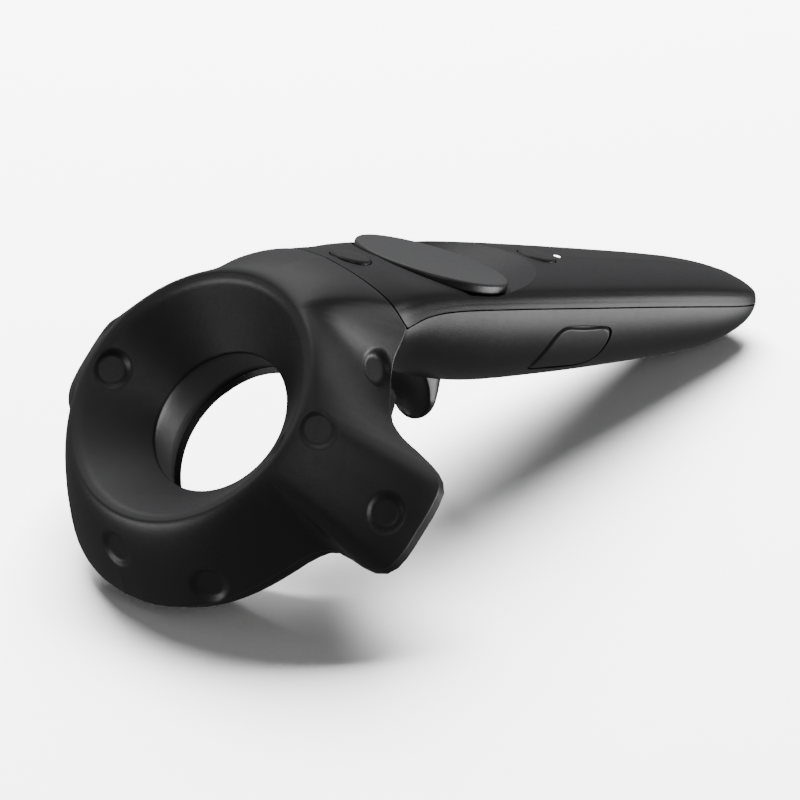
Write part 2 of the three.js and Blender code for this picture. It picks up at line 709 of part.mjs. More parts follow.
const axle = rod(PIN_R, 0.1 - BRACKET.out, BRACKET.out - 0.1, 20);
add(handle, "trigger", triggerPiece(), TRIGGER_BLACK);
add(handle, "trigger_axle", onAxle(axle), STEEL);
add(handle, "trigger_spring", springPiece(), STEEL);
add(handle, "trigger_bracket", triggerBracket(), FRAME_GREY);
add(handle, "trigger_switch", block(5, 4, 3).translate(0, 17.9, -24), CHIP_BLACK);

const BATTERY = { from: 48, to: 98, half: 9.4, low: -17.4, high: -11.3 };
const cell = block(2 * BATTERY.half, BATTERY.to - BATTERY.from, BATTERY.high - BATTERY.low)
  .translate(0, (BATTERY.from + BATTERY.to) / 2, (BATTERY.high + BATTERY.low) / 2);
add(handle, "battery", cell.intersect(INSIDE), CELL_FOIL);
add(
  handle,
  "battery_cradle",
  block(12, 46, 1.2).translate(0, 73, BATTERY.low - 0.9).intersect(INSIDE),
  FRAME_GREY,
);
const motor = rod(4.4, -6, 6, 28).rotate([0, 90, 0]).translate(0, 30, -17);
const socketCan = block(PORT.width, PORT.long, PORT.tall)
  .translate(0, BUTT_Y - PORT.long / 2 - 0.6, PORT.z)
  .subtract(block(PORT.width - 1, 4, PORT.tall - 0.9).translate(0, BUTT_Y - 1.2, PORT.z));
const cordBar = rod(LANYARD.barR, 0.3 - LANYARD.half, LANYARD.half - 0.3, 16)
  .rotate([0, 90, 0])
  .translate(0, LANYARD.y, underLine(LANYARD.y) + LANYARD.deep);
add(handle, "vibration_motor", motor, STEEL);
add(handle, "charging_socket", socketCan, STEEL);
add(handle, "lanyard_bar", cordBar, STEEL);
CASE_SCREWS.forEach((place, i) => {
  const [x, y] = place;
  const seat = screwSeat(place);
  const { headR, headTall, shankR, length } = SCREW;
  const made = turned(
    [[0, -headTall], [headR - 0.3, -headTall], [headR, -headTall + 0.3], [headR, -GAP],
      [shankR, -GAP], [shankR, length - GAP], [0, length - GAP]],
    14,
  );
  add(handle, `case_screw_${i + 1}`, made, STEEL, [x, y, seat]);
});

// Set the frame down: the lowest point at z = 0, centred in X and Y.
root.updateMatrixWorld(true);
const bounds = new THREE.Box3().setFromObject(root, true);
const middle = bounds.getCenter(new THREE.Vector3());
root.position.set(0, -middle.y, -bounds.min.z);

export default root;
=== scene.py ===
"""The visual build of a hand-held motion controller with a tilted tracking ring.

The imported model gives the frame: every piece made here sits on a CAD body, and most
pieces stand for a CAD node with a finer surface. Shapes are worked out in millimetres
in two working frames. The handle frame has its origin at the centre of the trackpad's
face, +Y towards the butt and +Z out of the top face. The ring frame has its origin at
the centre of the ring's lip, +Y towards the neck, and depths run back along its axis.
"""

import json
import logging
import math
from dataclasses import dataclass, field
from enum import Enum
from typing import Callable, Sequence

import bmesh
import bpy
import numpy as np
from mathutils import Matrix, Vector


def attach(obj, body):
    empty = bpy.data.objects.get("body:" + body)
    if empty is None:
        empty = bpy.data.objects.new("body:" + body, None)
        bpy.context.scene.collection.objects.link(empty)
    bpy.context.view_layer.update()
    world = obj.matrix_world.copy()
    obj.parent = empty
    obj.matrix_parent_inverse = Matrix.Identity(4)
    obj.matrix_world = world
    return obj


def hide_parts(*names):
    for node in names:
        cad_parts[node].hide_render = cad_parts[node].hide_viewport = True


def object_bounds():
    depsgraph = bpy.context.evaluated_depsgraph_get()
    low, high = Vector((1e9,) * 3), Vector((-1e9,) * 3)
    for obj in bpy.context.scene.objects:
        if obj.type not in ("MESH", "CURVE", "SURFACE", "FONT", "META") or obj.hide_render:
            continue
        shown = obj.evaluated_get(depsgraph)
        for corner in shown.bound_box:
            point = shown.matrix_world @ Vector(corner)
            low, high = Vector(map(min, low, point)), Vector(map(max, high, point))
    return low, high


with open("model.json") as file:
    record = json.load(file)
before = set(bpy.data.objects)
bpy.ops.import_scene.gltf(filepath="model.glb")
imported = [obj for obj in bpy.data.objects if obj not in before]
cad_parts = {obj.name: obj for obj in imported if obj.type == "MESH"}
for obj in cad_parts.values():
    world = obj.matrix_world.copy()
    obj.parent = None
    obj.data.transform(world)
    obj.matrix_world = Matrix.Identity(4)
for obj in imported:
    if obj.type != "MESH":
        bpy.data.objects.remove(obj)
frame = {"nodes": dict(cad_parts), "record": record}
CAD_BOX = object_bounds()
LOG = logging.getLogger("controller")
MM = 0.001
CASE = "case"

Array = np.ndarray
Profile = Sequence[tuple[float, float]]
Face = tuple[int, ...]


# ------------------------------------------------------------------ curve maths
def through(stations: Sequence[tuple[float, float]]) -> Callable[[Array], Array]:
    """Makes a smooth function through a few stations.

    Args:
        stations: (place, value) pairs in rising order of place.

    Returns:
        A function that takes places as an array and gives the values there.
    """
    ys = np.array([s[0] for s in stations], float)
    vs = np.array([s[1] for s in stations], float)
    slope = np.empty_like(vs)
    slope[1:-1] = (vs[2:] - vs[:-2]) / (ys[2:] - ys[:-2])
    slope[0] = (vs[1] - vs[0]) / (ys[1] - ys[0])
    slope[-1] = (vs[-1] - vs[-2]) / (ys[-1] - ys[-2])

    def value(y: Array) -> Array:
        """Reads the curve at y."""
        y = np.asarray(y, float)
        i = np.clip(np.searchsorted(ys, y, side="right") - 1, 0, len(ys) - 2)
        h = ys[i + 1] - ys[i]
        t = np.clip((y - ys[i]) / h, 0, 1)
        s = 1 - t
        ends = vs[i] * s * s * (1 + 2 * t) + vs[i + 1] * t * t * (3 - 2 * t)
        return ends + h * t * s * (slope[i] * s - slope[i + 1] * t)

    return value


def hermite(a: Array, ta: Array, b: Array, tb: Array, count: int) -> Array:
    """A cubic between two points with a given direction at each end.

    Args:
        a: the start, which isn't among the points given back.
        ta: the direction and pull in which the curve leaves a.
        b: the end.
        tb: the direction and pull in which the curve arrives at b.
        count: how many points to give.

    Returns:
        The points, with b as the last one.
    """
    t = (np.arange(count) + 1)[:, None] / count
    s = 1 - t
    ends = a * s * s * (1 + 2 * t) + b * t * t * (3 - 2 * t)
    return ends + ta * t * s * s - tb * t * t * s


def spline(points: Sequence[Sequence[float]], per_span: int = 60) -> Array:
    """Runs a centripetal curve through the points and samples each span."""
    p = np.asarray(points, float)
    p = np.vstack([2 * p[0] - p[1], p, 2 * p[-1] - p[-2]])
    out = []
    for i in range(1, len(p) - 2):
        a, b, c, d = p[i - 1], p[i], p[i + 1], p[i + 2]
        k = [0.0]
        for u, v in ((a, b), (b, c), (c, d)):
            k.append(k[-1] + max(np.linalg.norm(v - u), 1e-6) ** 0.5)
        t = np.linspace(k[1], k[2], per_span, endpoint=False)[:, None]
        ab = (a * (k[1] - t) + b * (t - k[0])) / (k[1] - k[0])
        bc = (b * (k[2] - t) + c * (t - k[1])) / (k[2] - k[1])
        cd = (c * (k[3] - t) + d * (t - k[2])) / (k[3] - k[2])
        abc = (ab * (k[2] - t) + bc * (t - k[0])) / (k[2] - k[0])
        bcd = (bc * (k[3] - t) + cd * (t - k[1])) / (k[3] - k[1])
        out.append((abc * (k[2] - t) + bcd * (t - k[1])) / (k[2] - k[1]))
    return np.vstack([*out, p[-2]])


def respaced(line: Array, count: int) -> Array:
    """Resamples a polyline to count evenly spaced points."""
    run = np.concatenate([[0], np.cumsum(np.linalg.norm(np.diff(line, axis=0), axis=1))])
    at = np.linspace(0, run[-1], count)
    return np.stack([np.interp(at, run, line[:, k]) for k in range(line.shape[1])], axis=1)


def rounded(profile: Profile, radius: float, steps: int = 5) -> Array:
    """Rounds the inner corners of an open profile.

    Args:
        profile: corner points; the first and last stay as they are.
        radius: the most that a corner is cut back on each side.
        steps: points on each rounded corner.

    Returns:
        The profile's points as an array.
    """
    p = np.asarray(profile, float)
    out = [p[:1]]
    for a, b, c in zip(p, p[1:], p[2:]):
        before, after = np.linalg.norm(a - b), np.linalg.norm(c - b)
        cut = min(radius, 0.45 * before, 0.45 * after)
        start, end = b + (a - b) * cut / before, b + (c - b) * cut / after
        t = np.linspace(0, 1, steps)[:, None]
        out.append(start * (1 - t) ** 2 + 2 * b * t * (1 - t) + end * t ** 2)
    out.append(p[-1:])
    return np.vstack(out)


def smoothstep(x: Array) -> Array:
    """The usual soft step from 0 to 1."""
    t = np.clip(x, 0, 1)
    return t * t * (3 - 2 * t)


# ------------------------------------------------------------------ mesh making
def mesh_object(name: str, points: Array, faces: Sequence[Sequence[int]], place: Array) -> bpy.types.Object:
    """Makes a mesh object in the row frame from points in a working frame.

    Args:
        name: the piece's name.
        points: vertices in millimetres in the working frame.
        faces: corner indices of each face.
        place: 4 by 4 matrix from the working frame to the row frame, in millimetres.

    Returns:
        The new object, at the origin, with its place in its mesh.
    """
    world = (np.asarray(points) @ place[:3, :3].T + place[:3, 3]) * MM
    mesh = bpy.data.meshes.new(name)
    mesh.from_pydata(world.tolist(), [], [list(map(int, f)) for f in faces])
    mesh.validate()
    obj = bpy.data.objects.new(name, mesh)
    bpy.context.scene.collection.objects.link(obj)
    return obj


def grid_faces(rows: int, columns: int, start: int = 0, wrap: bool = False) -> list[Face]:
    """Quads between the vertices of a grid.

    Args:
        rows: how many rows of vertices.
        columns: how many vertices in a row.
        start: the number of the first vertex.
        wrap: True if the last row joins the first.

    Returns:
        The quads.
    """
    i = np.arange(rows if wrap else rows - 1)[:, None]
    j = np.arange(columns - 1)[None, :]
    a = i * columns + j
    b = ((i + 1) % rows) * columns + j
    quads = np.stack([a, a + 1, b + 1, b], axis=-1).reshape(-1, 4) + start
    return list(map(tuple, quads))


def strip(fine: Sequence[int], coarse: Sequence[int], step: int) -> list[Face]:
    """Triangles between a fine row of vertices and a coarse one.

    Args:
        fine: the vertices of the fine row.
        coarse: the vertices of the coarse row.
        step: how many fine vertices there are to each coarse one.

    Returns:
        The triangles.
    """
    faces = []
    for k in range(len(coarse) - 1):
        middle = min(k * step + step // 2, len(fine) - 1)
        last = min((k + 1) * step, len(fine) - 1)
        for m in range(k * step, last):
            faces.append((fine[m], coarse[k] if m < middle else coarse[k + 1], fine[m + 1]))
        faces.append((coarse[k], coarse[k + 1], fine[middle]))
    return faces


def shell(
    name: str, outer: Array, inner: Array, step: int, place: Array, wrap: bool = False,
) -> bpy.types.Object:
    """Closes an outer sheet with a coarser inner sheet into one walled shell.

    Args:
        name: the piece's name.
        outer: rows by columns by 3 points of the outside.
        inner: the inside at the same rows and columns; every step-th one is used.
        step: how much coarser the inside is. It divides rows (less 1 unless wrapped) and columns less 1.
        place: matrix from the working frame to the row frame.
        wrap: True if the last row joins the first.

    Returns:
        The closed object.
    """
    rows, columns = outer.shape[:2]
    inside = inner[::step, ::step]
    r2, c2 = inside.shape[:2]
    base = rows * columns
    faces: list[Face] = grid_faces(rows, columns, 0, wrap)
    faces += [f[::-1] for f in grid_faces(r2, c2, base, wrap)]
    row_ids = list(range(rows)) + ([0] if wrap else [])
    coarse_ids = list(range(r2)) + ([0] if wrap else [])
    for column, flip in ((0, False), (columns - 1, True)):
        fine = [i * columns + column for i in row_ids]
        coarse = [base + i * c2 + (0 if column == 0 else c2 - 1) for i in coarse_ids]
        made = strip(fine, coarse, step)
        faces += [f[::-1] for f in made] if flip else made
    if not wrap:
        for row, flip in ((0, True), (rows - 1, False)):
            fine = [row * columns + j for j in range(columns)]
            coarse = [base + (0 if row == 0 else r2 - 1) * c2 + j for j in range(c2)]
            made = strip(fine, coarse, step)
            faces += [f[::-1] for f in made] if flip else made
    points = np.vstack([outer.reshape(-1, 3), inside.reshape(-1, 3)])
    obj = mesh_object(name, points, faces, place)
    tidy(obj)
    return obj


def tidy(obj: bpy.types.Object, merge: float = 2e-6, angle: float = 32) -> None:
    """Merges doubles, points the faces outwards and marks sharp edges.

    Args:
        obj: a closed mesh object.
        merge: the distance under which vertices join, in metres.
        angle: edges that turn more than this many degrees stay sharp.
    """
    bm = bmesh.new()
    bm.from_mesh(obj.data)
    bmesh.ops.remove_doubles(bm, verts=bm.verts, dist=merge)
    bmesh.ops.dissolve_degenerate(bm, edges=bm.edges, dist=merge / 2)
    bmesh.ops.recalc_face_normals(bm, faces=bm.faces)
    if bm.calc_volume(signed=True) < 0:
        bmesh.ops.reverse_faces(bm, faces=bm.faces)
    bm.to_mesh(obj.data)
    bm.free()
    shade(obj, angle)


def shade(obj: bpy.types.Object, angle: float = 32) -> None:
    """Shades a mesh smooth, apart from edges that turn by more than the angle."""
    obj.data.polygons.foreach_set("use_smooth", [True] * len(obj.data.polygons))
    obj.data.set_sharp_from_angle(angle=math.radians(angle))


def turned(name: str, profile: Profile, place: Array, sides: int = 128) -> bpy.types.Object:
    """Makes a solid that is turned round Z.

    Args:
        name: the object's name.
        profile: (radius, height) points, from axis to axis or closed on themselves.
        place: matrix from the working frame to the row frame.
        sides: how many steps the turn has.

    Returns:
        The closed object.
    """
    p = np.asarray(profile, float)
    a = np.linspace(0, 2 * math.pi, sides, endpoint=False)[:, None]
    height = np.broadcast_to(p[:, 1], (sides, len(p)))
    points = np.stack([p[:, 0] * np.cos(a), p[:, 0] * np.sin(a), height], -1)
    obj = mesh_object(name, points.reshape(-1, 3), grid_faces(sides, len(p), 0, True), place)
    tidy(obj)
    return obj


def prism(name: str, outline: Array, axis: int, low: float, high: float, place: Array) -> bpy.types.Object:
    """Makes a straight prism from an outline.

    Args:
        name: the object's name.
        outline: points in the two other coordinates, in rising order of axis.
        axis: the coordinate that the prism runs along.
        low: its lower end.
        high: its upper end.
        place: matrix from the working frame to the row frame.

    Returns:
        The closed object.
    """
    p = np.asarray(outline, float)
    n = len(p)
    ends = [np.insert(p, axis, z, axis=1) for z in (low, high)]
    faces: list[list[int]] = [list(range(n))[::-1], [n + k for k in range(n)]]
    faces += [[k, (k + 1) % n, n + (k + 1) % n, n + k] for k in range(n)]
    obj = mesh_object(name, np.vstack(ends), faces, place)
    tidy(obj)
    return obj


def soft_box(middle: float, half: tuple[float, float], r: float) -> Array:
    """A rectangle with round corners, as an outline.

    Args:
        middle: where its centre is along the second coordinate.
        half: its half sizes.
        r: the corners' radius.

    Returns:
        The outline's points.
    """
    x, z = half
    low, high = middle - z, middle + z
    corners = [(0, low), (x, low), (x, high), (-x, high), (-x, low), (0, low)]
    return rounded(corners, r, 6)[:-1]


class Cut(Enum):
    """What a boolean does with the second solid."""

    TAKE = "DIFFERENCE"
    KEEP = "INTERSECT"
    JOIN = "UNION"


def carve(obj: bpy.types.Object, tool: bpy.types.Object, how: Cut = Cut.TAKE) -> None:
    """Cuts a solid by a tool, or joins them, and throws the tool away.

    Args:
        obj: the closed solid that stays.
        tool: the closed solid that goes.
        how: what to do with the two.
    """
    modifier = obj.modifiers.new("cut", "BOOLEAN")
    modifier.solver = "MANIFOLD"
    modifier.operation = how.value
    modifier.object = tool
    baked(obj)
    bpy.data.objects.remove(tool, do_unlink=True)


def baked(obj: bpy.types.Object) -> None:
    """Turns an object's modifiers into plain mesh."""
    graph = bpy.context.evaluated_depsgraph_get()
    mesh = bpy.data.meshes.new_from_object(obj.evaluated_get(graph))
    obj.modifiers.clear()
    old = obj.data
    obj.data = mesh
    bpy.data.meshes.remove(old)


# ---------------------------------------------------------------------- frames
@dataclass(frozen=True)
class WorkingFrames:
    """Where the handle and ring frames lie in the row frame."""

    pivot_in_handle: tuple[float, float, float] = (0, -7.8, -18.5)
    ring_centre: tuple[float, float, float] = (0, -74.6, -36.7)
    ring_elevation: float = math.radians(26.9)

    def joint(self, name: str) -> dict:
        """The record of a joint."""
        return next(j for j in frame["record"]["behaviour"]["joints"] if j["name"] == name)

    def dip(self) -> float:
        """How far the handle dips towards its butt, read from the press direction of the trackpad."""
        axis = self.joint("trackpad_press")["axis"]
        return math.atan2(-axis[1], -axis[2])

    def handle(self) -> Array:
        """Matrix from the handle frame to the row frame, in millimetres."""
        pivot = np.array(self.joint("trigger_pull")["pos_m"]) / MM
        turn = np.array(Matrix.Rotation(-self.dip(), 4, "X"))
        turn[:3, 3] = pivot - turn[:3, :3] @ np.array(self.pivot_in_handle)
        return turn

    def ring_in_handle(self) -> Array:
        """Matrix from the ring frame to the handle frame."""
        turn = np.array(Matrix.Rotation(math.pi / 2 - self.ring_elevation, 4, "X"))
        turn[:3, 3] = self.ring_centre
        return turn

    def ring(self) -> Array:
        """Matrix from the ring frame to the row frame."""
        return self.handle() @ self.ring_in_handle()


FRAMES = WorkingFrames()
SCREW_PLACES = ((-8.5, 23), (8.5, 23), (-6.5, 103), (6.5, 103))  # x and station, from below
SCREW_SINK = 3.0  # from the skin to the head's seat
HANDLE = FRAMES.handle()
RING = FRAMES.ring()
TO_RING = np.linalg.inv(FRAMES.ring_in_handle())


# --------------------------------------------------------------------- shaders
class Wire:
    """A node socket that can be used in arithmetic."""

    def __init__(self, shader: "Shader", socket: bpy.types.NodeSocket) -> None:
        """Wraps a socket of a shader."""
        self.shader = shader
        self.socket = socket

    def _maths(self, operation: str, *values: "Wire | float") -> "Wire":
        """Adds one Math node."""
        return self.shader.node("ShaderNodeMath", {"operation": operation}, dict(enumerate(values)))

    def __add__(self, other: "Wire | float") -> "Wire":
        """self + other."""
        return self._maths("ADD", self, other)

    def __sub__(self, other: "Wire | float") -> "Wire":
        """self - other."""
        return self._maths("SUBTRACT", self, other)

    def __mul__(self, other: "Wire | float") -> "Wire":
        """self * other."""
        return self._maths("MULTIPLY", self, other)

    def __rsub__(self, other: "Wire | float") -> "Wire":
        """other - self."""
        return self._maths("SUBTRACT", other, self)

    __radd__ = __add__
    __rmul__ = __mul__

    def ramp(self, low: float, high: float) -> "Wire":
        """Rises from 0 at low to 1 at high, smoothly."""
        settings = {"interpolation_type": "SMOOTHSTEP"}
        return self.shader.node("ShaderNodeMapRange", settings, {0: self, 1: low, 2: high, 3: 0.0, 4: 1.0})


class Shader:
    """Builds one material's node tree."""

    def __init__(self, name: str) -> None:
        """Starts a material with an empty tree and a principled surface."""
        self.material = bpy.data.materials.new(name)
        self.material.use_nodes = True
        self.tree = self.material.node_tree
        self.tree.nodes.clear()
        self.output = self.tree.nodes.new("ShaderNodeOutputMaterial")
        self.surface = self.tree.nodes.new("ShaderNodeBsdfPrincipled")
        self.tree.links.new(self.surface.outputs[0], self.output.inputs[0])

    def node(
        self, kind: str, settings: dict[str, object], inputs: dict[object, object], out: int | str = 0,
    ) -> Wire:
        """Adds one node.

        Args:
            kind: the node's type.
            settings: its own properties, set first.
            inputs: values or wires by socket name or index.
            out: the output that is returned.

        Returns:
            The chosen output as a wire.
        """
        made = self.tree.nodes.new(kind)
        for key, value in settings.items():
            setattr(made, key, value)
        for key, value in inputs.items():
            if isinstance(value, Wire):
                self.tree.links.new(value.socket, made.inputs[key])
            elif value is not None:
                made.inputs[key].default_value = value
        return Wire(self, made.outputs[out])

    def feed(self, **values: object) -> None:
        """Sets or links the surface's sockets; underscores in a name stand for spaces."""
        for key, value in values.items():
            socket = self.surface.inputs[key.replace("_", " ")]
            if isinstance(value, Wire):
                self.tree.links.new(value.socket, socket)
            else:
                socket.default_value = value

    def place(self) -> Wire:
        """Object coordinates."""
        return self.node("ShaderNodeTexCoord", {}, {}, "Object")

    def noise(self, scale: float, detail: float = 2.0, roughness: float = 0.5) -> Wire:
        """Fractal noise over the object.

        Args:
            scale: features per metre.
            detail: how many finer layers are added.
            roughness: how strong the finer layers are.

        Returns:
            The noise, from 0 to 1.
        """
        inputs = {"Vector": self.place(), "Scale": scale, "Detail": detail, "Roughness": roughness}
        return self.node("ShaderNodeTexNoise", {}, inputs, 0)

    def cells(self, scale: float) -> Wire:
        """Distance to the nearest of scattered points, with scale in points per metre."""
        return self.node("ShaderNodeTexVoronoi", {}, {"Vector": self.place(), "Scale": scale}, 0)

    def blend(self, factor: Wire, a: Sequence[float], b: Sequence[float]) -> Wire:
        """Mixes two colours.

        Args:
            factor: 0 for the first colour, 1 for the second.
            a: the first colour.
            b: the second colour.

        Returns:
            The mixed colour.
        """
        inputs = {0: factor, 6: (*a, 1.0), 7: (*b, 1.0)}
        return self.node("ShaderNodeMix", {"data_type": "RGBA"}, inputs, 2)

    def bump(self, height: Wire, depth: float) -> Wire:
        """A bump from a height map, with depth in metres."""
        return self.node("ShaderNodeBump", {}, {"Height": height, "Distance": depth, "Strength": 1.0})


@dataclass(frozen=True)
class Moulded:
    """A moulded plastic: a fine spark-eroded grain over slow changes in tone and sheen."""

    name: str
    colour: tuple[float, float, float]
    roughness: float
    grain: float = 3600
    depth: float = 0.00002
    tone: float = 0.22
    specular: float = 0.5

    def make(self) -> bpy.types.Material:
        """Builds the material."""
        s = Shader(self.name)
        fine = s.noise(self.grain, 3.0, 0.6)
        pits = s.cells(self.grain * 0.55)
        slow = s.noise(38, 3.0, 0.55)
        worn = s.noise(420, 4.0, 0.65).ramp(0.45, 0.75)
        dark = [c * (1 - self.tone) for c in self.colour]
        light = [c * (1 + self.tone) for c in self.colour]
        s.feed(
            Base_Color=s.blend(slow * 0.6 + fine * 0.4, dark, light),
            Roughness=slow * 0.07 + worn * 0.05 + fine * 0.04 + (self.roughness - 0.08),
            Normal=s.bump(fine * 0.6 + pits * 0.4, self.depth),
        )
        s.feed(Specular_IOR_Level=self.specular)
        return s.material


@dataclass(frozen=True)
class Metal:
    """A turned or drawn metal with fine streaks."""

    name: str
    colour: tuple[float, float, float]
    roughness: float

    def make(self) -> bpy.types.Material:
        """Builds the material."""
        s = Shader(self.name)
        streak = s.noise(1500, 2.0, 0.5)
        smear = s.noise(160, 3.0, 0.6)
        dark = [c * 0.8 for c in self.colour]
        s.feed(
            Base_Color=s.blend(smear, dark, self.colour),
            Roughness=streak * 0.15 + smear * 0.1 + (self.roughness - 0.12),
            Normal=s.bump(streak, 0.00001),
        )
        s.feed(Metallic=1.0)
        return s.material


@dataclass(frozen=True)
class Circuit:
    """A printed board or flexible circuit under solder mask."""

    name: str
    mask: tuple[float, float, float] = (0.01, 0.075, 0.035)
    copper: tuple[float, float, float] = (0.02, 0.14, 0.06)

    def make(self) -> bpy.types.Material:
        """Builds the material."""
        s = Shader(self.name)
        tracks = s.cells(420).ramp(0.35, 0.4)
        grain = s.noise(2600, 2.0, 0.5)
        s.feed(
            Base_Color=s.blend(tracks, self.mask, self.copper),
            Roughness=grain * 0.1 + 0.35,
            Normal=s.bump(tracks * 0.8 + grain * 0.2, 0.00003),
        )
        return s.material


@dataclass(frozen=True)
class Glow:
    """A lit light guide, its colour and glow mixed with a faint haze."""

    name: str
    colour: tuple[float, float, float] = (0.85, 0.95, 0.92)
    strength: float = 2.5

    def make(self) -> bpy.types.Material:
        """Builds the material."""
        s = Shader(self.name)
        haze = s.noise(900, 2.0, 0.5)
        s.feed(
            Base_Color=s.blend(haze, self.colour, (1.0, 1.0, 1.0)),
            Emission_Color=s.blend(haze, self.colour, (1.0, 1.0, 1.0)),
            Roughness=haze * 0.1 + 0.25,
        )
        s.feed(Emission_Strength=self.strength)
        return s.material


Finish = Moulded | Metal | Circuit | Glow

SHELL_FINISH = Moulded("shell_plastic", (0.007, 0.007, 0.0073), 0.45)
HANDLE_FINISH = Moulded("handle_plastic", (0.005, 0.005, 0.0053), 0.4)
# Painted shade: the collar's colour is set darker than the shell's so that the throat it lines looks shaded.
COLLAR_SHADE_FINISH = Moulded("collar_plastic_painted_shade", (0.003, 0.003, 0.0032), 0.42)
PAD_FINISH = Moulded("trackpad_face", (0.011, 0.011, 0.0114), 0.36, 5200, 0.000008, 0.12)
BUTTON_FINISH = Moulded("button_plastic", (0.006, 0.006, 0.0062), 0.4, 4200, 0.00001)
GRIP_FINISH = Moulded("grip_plastic", (0.006, 0.006, 0.0062), 0.46, 3800, 0.000015)
TRIGGER_FINISH = Moulded("trigger_plastic", (0.003, 0.003, 0.0032), 0.34, 4600, 0.000006, 0.15)
FRAME_FINISH = Moulded("frame_plastic", (0.05, 0.05, 0.053), 0.55, 2600, 0.00003)
SWITCH_FINISH = Moulded("switch_plastic", (0.02, 0.02, 0.02), 0.5, 3000, 0.00002)
STEEL_FINISH = Metal("steel", (0.55, 0.55, 0.57), 0.32)
FOIL_FINISH = Metal("cell_foil", (0.7, 0.71, 0.73), 0.42)


class Dresser:
    """Keeps one material of each finish and puts them on pieces."""

    def __init__(self) -> None:
        """Starts with no materials."""
        self.made: dict[str, bpy.types.Material] = {}

    def material(self, finish: Finish) -> bpy.types.Material:
        """The material of a finish, made on first use."""
        if finish.name not in self.made:
            self.made[finish.name] = finish.make()
        return self.made[finish.name]

    def piece(self, obj: bpy.types.Object, finish: Finish, body: str, slot: str, *nodes: str) -> None:
        """Gives a new piece its material, puts it on its body and hides the CAD nodes that it stands for.

        Args:
            obj: the finished object.
            finish: what it is made of.
            body: the CAD body that it moves with.
            slot: a material slot's name, which is not used.
            nodes: the CAD nodes that it stands for.
        """
        obj.data.materials.clear()
        obj.data.materials.append(self.material(finish))
        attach(obj, body)
        if nodes:
            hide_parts(*nodes)
        LOG.info("%s on %s: %d faces", obj.name, body, len(obj.data.polygons))

    def node(self, name: str, finish: Finish) -> None:
        """Gives a CAD node that stays a better material."""
        obj = frame["nodes"][name]
        for slot in obj.material_slots:
            slot.material = self.material(finish)


